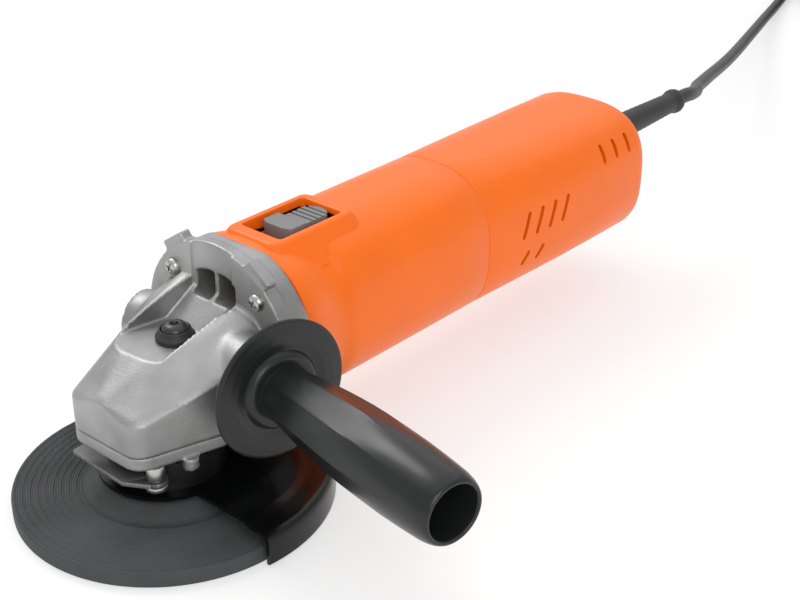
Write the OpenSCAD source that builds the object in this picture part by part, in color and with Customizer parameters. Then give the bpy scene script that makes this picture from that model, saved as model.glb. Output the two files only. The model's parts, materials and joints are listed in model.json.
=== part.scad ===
// Corded angle grinder with a slide switch, side handle, guard and depressed-centre wheel.
// The origin is on the spindle axis, in the plane of the wheel's lower face. +Z runs up the
// spindle, +Y runs back along the motor and +X points towards the fitted side handle.

/* [Grinding wheel] */
// Outer diameter of the grinding wheel
wheel_d = 125; // [100:1:150]
// Thickness of the wheel's cutting rim
wheel_t = 7; // [5:0.5:8]
// Height of the wheel's raised centre above its rim
hub_rise = 5; // [4:0.5:6]
// Diameter of the raised centre where it leaves the rim
hub_d = 65; // [56:1:72]
// Bore of the wheel
wheel_bore_d = 22.2; // [20:0.1:24]
// Number of pressed rings on the wheel's upper face
wheel_rings = 9; // [3:1:9]

/* [Spindle] */
// Diameter of the spindle's threaded end
thread_d = 14; // [12:0.5:16]
// Diameter of the shoulder that the inner flange rests on
shoulder_d = 17; // [16:0.5:18]
// Diameter of the spindle in its ball bearing and crown gear
spindle_d = 12; // [10:0.5:13]
// Diameter of the spindle's upper end, in the needle bearing
spindle_top_d = 8; // [6:0.5:8]
// Diameter of the inner clamping flange
flange_d = 40; // [34:1:41]
// Thickness of the inner clamping flange
flange_t = 5; // [4:0.5:6]
// Diameter of the clamping nut
nut_d = 34; // [30:1:38]
// Outer diameter of the spindle's ball bearing
spindle_bearing_d = 32; // [30:1:33]
// Width of the spindle's ball bearing
spindle_bearing_w = 10; // [8:1:10]

/* [Gears] */
// Module of the bevel gears at their outer end
gear_module = 1.0; // [0.95:0.01:1.05]
// Number of teeth on the crown gear, in fours because of the lock holes
crown_teeth = 36; // [36:4:40]
// Number of teeth on the pinion
pinion_teeth = 12; // [11:1:13]
// Width of the gear faces, along the cone
face_w = 5; // [4:0.5:6]
// Radius of the circle that the lock holes lie on
lock_r = 8.6; // [8.4:0.1:8.8]
// Diameter of the lock pin
lock_pin_d = 3; // [2.5:0.1:3.2]
// How far the lock button travels
lock_travel = 4; // [3:0.5:4]

/* [Gear head] */
// Height of the motor axis above the wheel's lower face
axis_h = 58; // [58:0.5:62]
// Height of the bearing flange's lower face
head_z = 32; // [31:0.5:33]
// Thickness of the bearing flange's plate
plate_t = 5.5; // [4.5:0.5:6]
// Width across the front of the gear head
head_front_w = 44; // [44:1:50]
// Width across the gear head at the handle bosses
head_boss_w = 68; // [66:1:72]
// Distance from the spindle to the head's front face
head_front_y = 31; // [30:0.5:33]
// Height of the flat that the lock button sits on
spot_z = 67; // [66:0.5:70]
// Diameter of the round mounting plate at the back of the head
ring_d = 82; // [80:1:86]
// Distance from the spindle to the joint with the motor housing
joint_y = 45; // [44:0.5:50]
// Diameter of the neck that the guard turns on
neck_d = 43; // [41:0.5:44]

/* [Guard] */
// Outer diameter of the guard
guard_d = 134; // [130:1:160]
// Thickness of the guard's sheet
guard_t = 1.6; // [1.2:0.1:2]
// Height of the guard's skirt
guard_h = 15; // [14:0.5:15.5]
// Length of the guard's locking lever
lever_l = 40; // [34:1:46]

/* [Side handle] */
// Angle that the handle leans forward
handle_lean = 10.4; // [8:0.2:12]
// Length of the grip, from the guard disc to its end
grip_l = 101; // [90:1:130]
// Largest diameter of the grip
grip_d = 29.8; // [27:0.2:36]
// Diameter of the hand guard disc
disc_d = 57; // [50:1:64]
// Diameter of the handle's stud
stud_d = 10; // [8:0.5:12]
// Distance from the spindle to the handle's centre, along the motor
handle_y = 19; // [18:0.5:20]

/* [Motor housing] */
// Width across the flats of the housing at the gear head
front_w = 76; // [74:1:78]
// Height across the flats of the housing at the gear head
front_h = 74; // [73:1:78]
// Width across the flats of the motor barrel
barrel_w = 68; // [68:1:74]
// Height across the flats of the motor barrel
barrel_h = 71; // [70:1:76]
// Bore of the motor housing
housing_bore_d = 60.2; // [59:0.1:61]
// Distance from the spindle to the seam between the two shells
seam_y = 163.5; // [162:0.5:175]
// Distance from the spindle to the rear end
rear_y = 288; // [280:1:310]
// Width across the flats at the rear end
rear_w = 73; // [70:1:76]
// Height across the flats at the rear end
rear_h = 67; // [66:1:74]
// Thickness of the rear cover's wall
cover_wall = 2.6; // [2:0.1:3]

/* [Switch] */
// Width of the switch slider
slider_w = 16; // [12:0.5:18]
// Length of the switch slider
slider_l = 27; // [24:0.5:28]
// How far the slider travels forward
slide_travel = 6; // [4:0.5:6]

/* [Motor] */
// Length of the stator and armature stacks
stack_l = 54; // [48:1:54]
// Diameter of the armature stack
armature_d = 40; // [36:0.5:40]
// Radial air gap between armature and stator
air_gap = 0.6; // [0.4:0.1:0.8]
// Diameter of the armature shaft in its bearings
shaft_d = 8; // [7:0.5:8]
// Diameter of the fan
fan_d = 56; // [50:1:57]
// Number of fan blades
fan_blades = 15; // [9:1:18]
// Diameter of the commutator
commutator_d = 22; // [18:1:22]

/* [Mains lead] */
// Diameter of the mains lead
cord_d = 7.6; // [6:0.2:8]
// Length of the sleeve where the lead leaves the cover
sleeve_l = 60; // [40:1:60]

/* [Clearances] */
// Radial clearance of fits that turn or slide
run_gap = 0.05; // [0.02:0.01:0.09]
// Gap between pieces that pass without touching
free_gap = 0.5; // [0.35:0.05:0.8]
// Gap between a piece and the seat that holds it
seat_gap = 0.02; // [0.01:0.01:0.05]

/* [Hidden] */
$fn = 64;
HULL_FN = 32;
EPS = 1;

// Wheel and clamping pieces
rim_r = wheel_d / 2;
hub_plate_t = 6.5;
hub_top_z = wheel_t + hub_rise;
hub_under_z = hub_top_z - hub_plate_t;
hub_top_r = hub_d / 2 - 7;
hub_recess_r = nut_d / 2 + 4;
nut_gap = 0.4;
ring_pitch = 3;
ring_step = 0.35;
flange_top_z = hub_top_z + flange_t;
flange_boss_h = 2;
nut_boss_h = 3;
spigot_gap = 0.1;

// Spindle stations, from the floor up
spindle_end_z = 0.8;
bearing_z = 24;
bearing_top_z = bearing_z + spindle_bearing_w;
gear_seat_z = bearing_top_z;
neck_end_z = flange_top_z + 1.5;
seal_z = neck_end_z + 1;
seal_r = 11.5;
plate_top_z = head_z + plate_t;

// Bevel gear geometry: both pitch cones share the apex where the axes cross
apex_z = axis_h;
crown_pitch_r = gear_module * crown_teeth / 2;
pinion_pitch_r = gear_module * pinion_teeth / 2;
crown_cone = atan2(crown_pitch_r, pinion_pitch_r);
pinion_cone = 90 - crown_cone;
cone_l = norm([crown_pitch_r, pinion_pitch_r]);
tooth_top = 0.7 * gear_module;
tooth_root = 1.05 * gear_module;
tooth_share = 0.40;
flank_angle = 22;
crown_back_z = 8.5;
gear_top_z = apex_z - pinion_pitch_r + 1.2;
crown_web_z = apex_z - pinion_pitch_r - crown_back_z;
clip_t = 1;
hub_gear_r = 11.2;
hub_gear_top_z = apex_z - pinion_pitch_r - 3.4;
top_journal_z = hub_gear_top_z + clip_t + 0.6;
needle_z = apex_z - 3.4;
needle_r = 5.9;
spindle_top_z = apex_z + 4;
room_top_z = apex_z - 3;
needle_top_z = spindle_top_z + 0.3;
lock_hole_depth = 5;
lock_pin_clear = 0.5;
FLANGE_SCREW_Y = [-24, 16];
function flange_screw_x(y) = y < 0 ? 10.5 : 24.5;

// Armature stations, along the motor
toe_share = (cone_l - face_w) / cone_l;
pinion_y = toe_share * (cone_l / cos(pinion_cone)
    - (pinion_pitch_r / cos(pinion_cone) - tooth_root) * sin(pinion_cone));
pinion_back_y = crown_pitch_r + 3.6;
front_bearing_y = 30;
front_bearing_w = 7;
front_bearing_d = 22;
plate_y = joint_y - 3;
fan_y = joint_y + 1.5;
fan_w = 9;
stack_y = 88;
stack_end_y = stack_y + stack_l;
winding_end_l = 6;
commutator_y = stack_end_y + winding_end_l + 2;
commutator_l = 11;
bridge_y = commutator_y + commutator_l + 0.5;
bridge_t = 3.5;
rear_bearing_y = bridge_y + bridge_t + 4;
rear_bearing_w = 6;
rear_bearing_d = 19;
sleeve_wall = 2;
shaft_end_y = rear_bearing_y + rear_bearing_w + 1;
shaft_core_r = shaft_d / 2 + 1;
brush_w = 6.4;
brush_h = 8;
brush_l = 11;
brush_y = commutator_y + 2.7 + brush_w / 2;
holder_wall = 1.1;

// Gear head shape
head_corner_r = 9;
ring_y = 30;
ring_t = 6.5;
collar_r = front_w / 2 + 2.2;
head_screw_x = 24;
head_screw_dz = 24.4;
head_screw_d = 4;
head_screw_head_d = 7.4;
outlet_w = 23;
outlet_z0 = 78.5;
outlet_z1 = 87;
channel_x0 = -14;
channel_x1 = 10.2;
ramp_y = 17;
crown_rise = 1.6;
boss_r = 12.5;
boss_x = head_boss_w / 2;
handle_z = 60;
bush_r = 8;
bush_l = 12;
button_y = lock_r;
button_r = 5.4;
button_gap = 0.3;
button_collar_r = 7.9;
button_stem_r = 2.3;
button_h = 2.9;
stem_low = -1.5;
spring_z = room_top_z + 1.6;
tunnel_r = pinion_pitch_r + 1.4;
tunnel_y = button_y + button_stem_r + run_gap + 0.1;

// Guard
guard_r = guard_d / 2;
guard_top_z = 16;
guard_low_z = guard_top_z - guard_h;
guard_front_y = -9;
guard_back_left_y = 7;
guard_ring_r = 28;
collar_in_r = neck_d / 2 + run_gap;
collar_wall = 1.9;
collar_top_z = head_z - 1;
lever_z = 23.6;
lever_t = 1.8;
lever_pivot_x = 18.8;
lever_pivot_y = -21.5;
lever_pivot_d = 4;
lever_w = 7;

// Motor housing
front_r = front_w / 2 + 2.4;
waist_r = 34.3;
fan_bore_r = fan_d / 2 + 1.2;
barrel_r = barrel_w / 2 + 3.4;
rear_r = rear_w / 2 + 2.6;
waist_y = 68;
barrel_y = 77;
deck_z = axis_h + front_h / 2 + 1.1;
deck_w = 29;
deck_y0 = 51;
deck_y1 = 96;
well_w = 22.5;
well_y0 = 56;
well_y1 = 91.5;
well_z = 88.6;
slider_y0 = well_y1 - slider_l - 0.6;
slider_z = deck_z - 0.2;
rod_w = 5;
rod_h = 2;
rod_z = well_z + 0.4;
rod_low_z = rod_z - 3.2;
rod_bend_y = stack_end_y + winding_end_l + 4;
rod_y0 = slider_y0 + 8;
rod_y1 = 196;
sleeve_x = 15;
sleeve_z = 75.5;
sleeve_r0 = 7;
sleeve_r1 = 5.4;
bead_r = 6.5;
sleeve_end_y = rear_y + sleeve_l;
switch_y = rod_y1 - 3;
switch_l = 34;
switch_w = 24;
switch_h = 20;
switch_top_z = rod_z - 0.8;
cover_screw_x = 22;
cover_screw_y = 197;
clamp_y = rear_y - 26;
clamp_screw_x = 7.4;
clamp_top = cord_d / 2 + 3;

// Route of the mains lead where it isn't coiled
CORD_PTS = [
    [15, 348, 75.5], [15, 351, 75.5], [15, 354, 75.5], [14.4, 360, 74.9], [12.6, 367, 73.2], [9.2, 376, 70.6], [4.3, 387.5, 67.6],
    [-3.8, 403, 63.8], [-12.8, 425, 59], [-24.7, 455, 52.6], [-38, 490, 45.4], [-53.3, 530, 37.7],
    [-70.9, 575, 29.7], [-88.6, 620, 22.3], [-105.7, 665, 15.8], [-122.2, 710, 10.3], [-136.2, 751, 6.4],
    [-149, 790, 4.3], [-162.9, 832, 4]
];
// Route of its last stretch, from the top of the coil round to the plug
TAIL_PTS = [
    [-95.9, 904.8, 27.4], [-85.9, 904.8, 27.3], [-75.9, 904.8, 26.6], [-65.4, 904.8, 25.2], [-55.1, 904.8, 23.6],
    [-42.9, 902.4, 22.1], [-32.5, 895.4, 20.7], [-25.5, 885, 19.4], [-23.1, 875, 18.5], [-23.1, 872, 18.5],
    [-23.1, 869, 18.5]
];
coil_mid_r = 45;
coil_half_w = 11.7;
coil_h = 31.3;
COIL_AT = [-106, 852, 0];
PLUG_AT = [-23.1, 840, 0];
plug_r = 18.5;
plug_l = 38;

// ---------- Helpers ----------

// Stands its children on the motor axis, their +Z along +Y, starting at y
module on_motor(y = 0) {
    translate([0, y, axis_h]) rotate([-90, 0, 0]) children();
}

// Puts its children at the handle boss of one side, their +Z outwards along the handle
module on_handle(side = 1) {
    translate([side * boss_x, handle_y, handle_z])
        rotate([0, 0, -side * handle_lean]) rotate([0, side * 90, 0]) children();
}

module ring(outer_r, inner_r, h) {
    difference() {
        cylinder(r = outer_r, h = h);
        translate([0, 0, -EPS]) cylinder(r = inner_r, h = h + 2 * EPS);
    }
}

// Part of a ring between two angles
module ring_sector(outer_r, inner_r, h, from, to) {
    rotate([0, 0, from]) rotate_extrude(angle = to - from)
        translate([inner_r, 0]) square([outer_r - inner_r, h]);
}

// Outline with four flats and round corners of radius r
module squarish(wide, high, r) {
    intersection() {
        circle(r = r);
        square([wide, high], center = true);
    }
}

function unit(v) = v / norm(v);
function way(pts, i) = unit(pts[min(i + 1, len(pts) - 1)] - pts[max(i - 1, 0)]);

// Points of a smooth curve through the given points, steps on each stretch
function spline_at(p0, p1, p2, p3, t) =
    0.5 * (2 * p1 + (p2 - p0) * t + (2 * p0 - 5 * p1 + 4 * p2 - p3) * t * t
    + (3 * p1 - p0 - 3 * p2 + p3) * t * t * t);
function smooth_path(pts, steps) = concat(
    [for (i = [0 : len(pts) - 2]) for (s = [0 : steps - 1])
        spline_at(pts[max(i - 1, 0)], pts[i], pts[i + 1], pts[min(i + 2, len(pts) - 1)], s / steps)],
    [pts[len(pts) - 1]]);

// Closed tube of radius r along a path of points
module tube(path, r, sides) {
    rings = len(path);
    up = [0, 0, 1];
    pts = [for (i = [0 : rings - 1])
        let (t = way(path, i), s = unit(cross(t, up)), u = cross(s, t))
        for (k = [0 : sides - 1]) path[i] + r * (cos(360 * k / sides) * s + sin(360 * k / sides) * u)];
    walls = [for (i = [0 : rings - 2]) for (k = [0 : sides - 1])
        let (a = i * sides + k, b = i * sides + (k + 1) % sides) [a, b, b + sides, a + sides]];
    first = [for (k = [0 : sides - 1]) sides - 1 - k];
    last = [for (k = [0 : sides - 1]) (rings - 1) * sides + k];
    polyhedron(points = pts, faces = concat([first], [last], walls), convexity = 6);
}

// Coil spring standing along +Z
module coil_spring(radius, length, turns, wire_r) {
    steps = 12;
    path = [for (i = [0 : turns * steps])
        [radius * cos(360 * i / steps), radius * sin(360 * i / steps),
         wire_r + (length - 2 * wire_r) * i / (turns * steps)]];
    tube(path, wire_r, 6);
}

// ---------- Bevel gears ----------

// Outline of one tooth on the back cone: radius, and half of the tooth's angle there
function tooth_half(rho, rho_pitch, share) =
    (share * PI * gear_module / 2 - (rho - rho_pitch) * tan(flank_angle)) / rho * 180 / PI;

// Point on the back cone of a gear with pitch cone half-angle cone, scaled towards the apex
function cone_point(rho, phi, cone, scale) =
    let (r = rho * cos(cone), z = cone_l / cos(cone) - rho * sin(cone), a = phi / cos(cone))
    [scale * r * cos(a), scale * r * sin(a), scale * z];

// Toothed solid of a bevel gear; its axis is +Z and its pitch cone's apex is the origin
module bevel_gear(teeth, cone, back, turn = 0) {
    rho_p = gear_module * teeth / 2 / cos(cone);
    rho_t = rho_p + tooth_top;
    rho_r = rho_p - tooth_root;
    step = 360 / teeth * cos(cone);
    inner = (cone_l - face_w) / cone_l;
    tip = tooth_half(rho_t, rho_p, tooth_share);
    root = tooth_half(rho_r, rho_p, tooth_share);
    per = 6;
    n = teeth * per;
    mid = step / 2 - root;
    outline = [for (k = [0 : teeth - 1]) each
        [[rho_r, k * step - root], [rho_t, k * step - tip], [rho_t, k * step + tip],
         [rho_r, k * step + root], [rho_r, k * step + root + mid * 0.66],
         [rho_r, k * step + root + mid * 1.33]]];
    outer_pts = [for (p = outline) cone_point(p[0], p[1], cone, 1)];
    inner_pts = [for (p = outline) cone_point(p[0], p[1], cone, inner)];
    back_r = (rho_r - 0.5) * cos(cone);
    back_z = cone_l / cos(cone) - (rho_r - 0.5) * sin(cone) + back;
    back_pts = [for (p = outline) [back_r * cos(p[1] / cos(cone)), back_r * sin(p[1] / cos(cone)), back_z]];
    centre_in = [0, 0, inner * (cone_l / cos(cone) - rho_r * sin(cone))];
    centre_out = [0, 0, back_z];
    pts = concat(inner_pts, outer_pts, back_pts, [centre_in, centre_out]);
    ring_faces = [for (row = [0 : 1]) for (k = [0 : n - 1])
        let (a = row * n + k, b = row * n + (k + 1) % n) each [[a, a + n, b + n], [a, b + n, b]]];
    caps = [for (k = [0 : n - 1]) each
        [[3 * n, k, (k + 1) % n], [3 * n + 1, 2 * n + (k + 1) % n, 2 * n + k]]];
    rotate([0, 0, turn]) polyhedron(points = pts, faces = concat(ring_faces, caps), convexity = 10);
}

// ---------- Spindle and what turns with it ----------

module spindle() {
    color("silver") rotate_extrude() polygon([
        [0, spindle_end_z], [thread_d / 2 - 1, spindle_end_z], [thread_d / 2, spindle_end_z + 1],
        [thread_d / 2, flange_top_z], [shoulder_d / 2, flange_top_z], [shoulder_d / 2, bearing_z],
        [spindle_d / 2, bearing_z], [spindle_d / 2, top_journal_z],
        [spindle_top_d / 2, top_journal_z], [spindle_top_d / 2, spindle_top_z - 0.5],
        [spindle_top_d / 2 - 0.5, spindle_top_z], [0, spindle_top_z]]);
}

module crown_gear() {
    color("dimgray") difference() {
        union() {
            translate([0, 0, apex_z]) rotate([180, 0, 0])
                bevel_gear(crown_teeth, crown_cone, 4.5, 180 / crown_teeth);
            translate([0, 0, gear_seat_z]) cylinder(r = hub_gear_r, h = hub_gear_top_z - gear_seat_z);
        }
        translate([0, 0, hub_gear_top_z]) cylinder(r = hub_gear_r, h = 2 * tooth_root + crown_back_z);
        translate([0, 0, gear_seat_z - EPS])
            cylinder(r = spindle_d / 2 + seat_gap, h = hub_gear_top_z);
        for (a = [0 : 90 : 270]) rotate([0, 0, a]) translate([0, lock_r, hub_gear_top_z - lock_hole_depth])
            cylinder(r = lock_pin_d / 2 + run_gap, h = 2 * lock_hole_depth, $fn = 32);
    }
}

module gear_clip() {
    color("gray") translate([0, 0, hub_gear_top_z]) difference() {
        cylinder(r = spindle_d / 2 + 0.9, h = clip_t);
        translate([0, 0, -EPS]) cylinder(r = spindle_d / 2 + seat_gap, h = clip_t + 2 * EPS);
        translate([-1.5, -spindle_d, -EPS]) cube([3, spindle_d - 3, clip_t + 2 * EPS]);
    }
}

// Race of a ball bearing with its groove; the bearing's mid plane is z = w / 2
module race(outer_r, inner_r, w, groove_r, ball_r) {
    rotate_extrude() difference() {
        translate([inner_r, 0]) square([outer_r - inner_r, w]);
        translate([groove_r, w / 2]) circle(r = ball_r, $fn = 32);
    }
}

// Race radii of a bearing from its bore and outer diameter
function ball_track(bore, outer) = (bore + outer) / 4;
function ball_size(bore, outer) = (outer - bore) / 2 * 0.3;
ball_gap = 0.04;

module outer_race(bore, outer, w) {
    t = ball_track(bore, outer);
    b = ball_size(bore, outer);
    race(outer / 2 - seat_gap, t + b * 0.62, w, t, b + ball_gap);
}

module inner_race(bore, outer, w) {
    t = ball_track(bore, outer);
    b = ball_size(bore, outer);
    race(t - b * 0.62, bore / 2 + seat_gap, w, t, b + ball_gap);
}

module balls(bore, outer, w, count) {
    for (k = [0 : count - 1]) rotate([0, 0, k * 360 / count])
        translate([ball_track(bore, outer), 0, w / 2]) sphere(r = ball_size(bore, outer), $fn = 24);
}

module spindle_bearing_outer() {
    color("silver") translate([0, 0, bearing_z]) outer_race(spindle_d, spindle_bearing_d, spindle_bearing_w);
}

module spindle_bearing_inner() {
    color("silver") translate([0, 0, bearing_z]) inner_race(spindle_d, spindle_bearing_d, spindle_bearing_w);
}

module spindle_bearing_balls() {
    color("lightgray") translate([0, 0, bearing_z]) balls(spindle_d, spindle_bearing_d, spindle_bearing_w, 7);
}

module needle_bearing() {
    color("silver") translate([0, 0, needle_z])
        ring(needle_r, spindle_top_d / 2 + run_gap, needle_top_z - needle_z);
}

module shaft_seal() {
    color("black") translate([0, 0, seal_z])
        ring(seal_r - seat_gap, shoulder_d / 2 + run_gap, bearing_z - seal_z - 0.2);
}

module inner_flange() {
    color("silver") difference() {
        union() {
            translate([0, 0, hub_top_z]) cylinder(r = flange_d / 2, h = flange_t);
            translate([0, 0, hub_top_z - flange_boss_h])
                cylinder(r = wheel_bore_d / 2 - spigot_gap, h = flange_boss_h + EPS);
        }
        translate([0, 0, hub_top_z - flange_boss_h - EPS])
            cylinder(r = thread_d / 2 + seat_gap, h = flange_t + flange_boss_h + 2 * EPS);
    }
}

module grinding_wheel() {
    ring_r0 = hub_d / 2 + 1.5;
    ring_count = min(wheel_rings, floor((rim_r - ring_r0 - 2) / ring_pitch));
    ring_edges = [for (k = [0 : ring_count - 1]) each
        [[ring_r0 + (k + 0.5) * ring_pitch, wheel_t], [ring_r0 + (k + 1) * ring_pitch, wheel_t - ring_step]]];
    color("dimgray") rotate_extrude($fn = 128) polygon(concat(
        [[wheel_bore_d / 2, hub_under_z], [hub_recess_r, hub_under_z], [hub_recess_r + 3, 0],
         [rim_r - 0.5, 0], [rim_r, 0.5], [rim_r, wheel_t - 0.8], [rim_r - 0.8, wheel_t]],
        [for (k = [len(ring_edges) - 1 : -1 : 0]) ring_edges[k]],
        [[hub_d / 2, wheel_t], [hub_top_r, hub_top_z], [wheel_bore_d / 2, hub_top_z]]));
}

module clamp_nut() {
    nut_t = hub_under_z - nut_gap;
    color("dimgray") difference() {
        union() {
            translate([0, 0, nut_gap]) cylinder(r = nut_d / 2, h = nut_t);
            translate([0, 0, hub_under_z - EPS])
                cylinder(r = wheel_bore_d / 2 - spigot_gap, h = nut_boss_h + EPS);
        }
        translate([0, 0, -EPS]) cylinder(r = thread_d / 2 + seat_gap, h = hub_top_z);
        for (a = [0 : 90 : 270]) rotate([0, 0, a]) translate([nut_d / 2 - 4, 0, -EPS])
            cylinder(r = 2, h = nut_gap + nut_t + EPS, $fn = 32);
    }
}

// ---------- Armature and what turns with it ----------

module armature_shaft() {
    color("silver") on_motor() rotate_extrude() polygon([
        [0, pinion_y - 2.4], [2.5, pinion_y - 2.4], [2.5, pinion_back_y],
        [shaft_d / 2, pinion_back_y], [shaft_d / 2, stack_y - 14], [shaft_core_r, stack_y - 14],
        [shaft_core_r, rear_bearing_y], [shaft_d / 2 - 0.5, rear_bearing_y],
        [shaft_d / 2 - 0.5, shaft_end_y], [0, shaft_end_y]]);
}

module pinion() {
    color("gray") on_motor() difference() {
        union() {
            bevel_gear(pinion_teeth, pinion_cone, 0.4, 90);
            translate([0, 0, crown_pitch_r]) cylinder(r = 4.6, h = pinion_back_y - crown_pitch_r + 3);
        }
        translate([0, 0, -EPS]) cylinder(r = 2.5 + seat_gap, h = pinion_back_y + EPS);
        translate([0, 0, pinion_back_y]) cylinder(r = shaft_d / 2 + seat_gap, h = 8);
    }
}

module pinion_nut() {
    color("dimgray") on_motor(pinion_y - 2.25) difference() {
        cylinder(r = 3.5, h = 1.8 - seat_gap, $fn = 6);
        translate([0, 0, -EPS]) cylinder(r = 2.5 + seat_gap, h = 4);
    }
}

module front_bearing_outer() {
    color("silver") on_motor(front_bearing_y) outer_race(shaft_d, front_bearing_d, front_bearing_w);
}

module front_bearing_inner() {
    color("silver") on_motor(front_bearing_y) inner_race(shaft_d, front_bearing_d, front_bearing_w);
}

module rear_bearing_outer() {
    color("silver") on_motor(rear_bearing_y) outer_race(shaft_d - 1, rear_bearing_d, rear_bearing_w);
}

module rear_bearing_inner() {
    color("silver") on_motor(rear_bearing_y) inner_race(shaft_d - 1, rear_bearing_d, rear_bearing_w);
}

module armature_bearing_balls() {
    color("lightgray") {
        on_motor(front_bearing_y) balls(shaft_d, front_bearing_d, front_bearing_w, 7);
        on_motor(rear_bearing_y) balls(shaft_d - 1, rear_bearing_d, rear_bearing_w, 7);
    }
}

module armature_core() {
    slots = 12;
    color("gray") on_motor(stack_y) difference() {
        cylinder(r = armature_d / 2, h = stack_l);
        translate([0, 0, -EPS]) cylinder(r = shaft_core_r + seat_gap, h = stack_l + 2 * EPS);
        for (k = [0 : slots - 1]) rotate([0, 0, k * 360 / slots])
            translate([armature_d / 2 - 6.5, -1.3, -EPS]) cube([8, 2.6, stack_l + 2 * EPS]);
    }
}

module armature_windings() {
    slots = 12;
    slot_r = armature_d / 2 - 6.4;
    color("chocolate") on_motor(stack_y) {
        for (end = [0, 1]) translate([0, 0, end ? stack_l + seat_gap : -winding_end_l - seat_gap])
            ring(armature_d / 2 - 3, shaft_core_r + seat_gap, winding_end_l);
        for (k = [0 : slots - 1]) rotate([0, 0, k * 360 / slots])
            translate([slot_r, -1.2, 0.1]) cube([4.6, 2.4, stack_l - 0.2]);
    }
}

module commutator() {
    bars = 24;
    color("peru") on_motor(commutator_y) difference() {
        union() {
            cylinder(r = commutator_d / 2, h = commutator_l);
            cylinder(r = commutator_d / 2 + 1.2, h = 2);
        }
        translate([0, 0, -EPS]) cylinder(r = shaft_core_r + seat_gap, h = commutator_l + 2 * EPS);
        for (k = [0 : bars - 1]) rotate([0, 0, (k + 0.5) * 360 / bars])
            translate([commutator_d / 2 - 0.6, -0.25, 2.2]) cube([2, 0.5, commutator_l]);
    }
}

module fan() {
    color("white") on_motor(fan_y) difference() {
        union() {
            translate([0, 0, fan_w - 2]) cylinder(r = fan_d / 2, h = 2);
            cylinder(r = 9, h = fan_w);
            for (k = [0 : fan_blades - 1]) rotate([0, 0, k * 360 / fan_blades])
                translate([8, -0.7, 0.5]) rotate([0, 0, 14]) cube([fan_d / 2 - 10, 1.4, fan_w - 1.5]);
        }
        translate([0, 0, -EPS]) cylinder(r = shaft_d / 2 + seat_gap, h = fan_w + 2 * EPS);
    }
}

// ---------- Gear head ----------

module head_block() {
    front_x = head_front_w / 2 - head_corner_r;
    front_y = head_corner_r - head_front_y;
    hull() {
        for (s = [-1, 1]) {
            translate([s * front_x, front_y, plate_top_z])
                cylinder(r = head_corner_r, h = 14, $fn = HULL_FN);
            translate([s * front_x, front_y, plate_top_z])
                cylinder(r = head_corner_r - 1.8, h = 16, $fn = HULL_FN);
            translate([s * 19, 5, plate_top_z]) cylinder(r = 11, h = 16, $fn = HULL_FN);
            translate([s * (boss_x - 10), 21, plate_top_z]) cylinder(r = 10, h = 27, $fn = HULL_FN);
        }
        translate([0, -24.5, plate_top_z]) cylinder(r = 6, h = 18.5, $fn = HULL_FN);
        translate([-9, 1, spot_z - 2]) cylinder(r = 10, h = 2 + crown_rise, $fn = HULL_FN);
        translate([3, 1, spot_z - 2]) cylinder(r = 9, h = 2 + crown_rise, $fn = HULL_FN);
        on_motor(ring_y) translate([-16, -12, 0]) cylinder(r = 12.5, h = 2, $fn = HULL_FN);
        on_motor(ring_y) translate([15, -6.5, 0]) cylinder(r = 12, h = 2, $fn = HULL_FN);
    }
}

module head_mount_plate() {
    lug_w = 13;
    lug_reach = ring_d / 2 + 3.6;
    on_motor(ring_y) {
        cylinder(r = ring_d / 2, h = ring_t);
        for (a = [-146, -34, 34, 146]) rotate([0, 0, a]) translate([-lug_w / 2, -lug_reach, 0.6])
            cube([lug_w, 14, ring_t - 1.2]);
    }
    on_motor(ring_y + ring_t - EPS) linear_extrude(joint_y - ring_y - ring_t + EPS)
        squarish(front_w, front_h, collar_r);
}

module handle_boss(side) {
    on_handle(side) translate([0, 0, -14]) cylinder(r = boss_r, h = 14);
}

module head_cavities() {
    gear_room_r = crown_pitch_r + 2.6;
    translate([0, 0, head_z]) cylinder(r = gear_room_r, h = room_top_z - head_z);
    translate([0, 0, room_top_z - EPS]) cylinder(r = needle_r + seat_gap, h = needle_top_z - room_top_z + EPS);
    on_motor(tunnel_y) cylinder(r = tunnel_r, h = front_bearing_y - tunnel_y + EPS);
    on_motor(front_bearing_y) cylinder(r = front_bearing_d / 2, h = 40);
    on_motor(plate_y) cylinder(r = fan_bore_r - 2, h = 40);
    translate([0, button_y, spring_z]) cylinder(r = button_stem_r + run_gap, h = 40, $fn = 32);
    translate([0, button_y, room_top_z - EPS]) cylinder(r = lock_pin_d / 2 + run_gap, h = 40, $fn = 32);
    // Channel that leads the cooling air forward over the head
    intersection() {
        translate([0, 0, spot_z]) linear_extrude(40) polygon([
            [channel_x0 - 7, -14], [channel_x1, -14], [channel_x1, ring_y + 1],
            [-outlet_w / 2 - 1.5, ring_y + 1], [channel_x0 - 4.5, 1]]);
        translate([channel_x0 - 10, 0, 0]) rotate([90, 0, 90]) linear_extrude(60) polygon([
            [-20, spot_z], [ramp_y, spot_z], [ring_y + 1, outlet_z0 - 0.4], [ring_y + 1, spot_z + 40],
            [-20, spot_z + 40]]);
    }
}

// Arched outlet through the mounting plate, with its centre rib left standing
module air_outlet() {
    difference() {
        on_motor(ring_y - 14) intersection() {
            cylinder(r = outlet_z1 - axis_h, h = joint_y - ring_y + 16);
            translate([-outlet_w / 2, -outlet_z1 + axis_h, -EPS])
                cube([outlet_w, outlet_z1 - outlet_z0 + 3, joint_y]);
        }
        translate([-1.1, ring_y - 20, outlet_z0 - 5]) cube([2.2, joint_y, 30]);
    }
}

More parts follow.
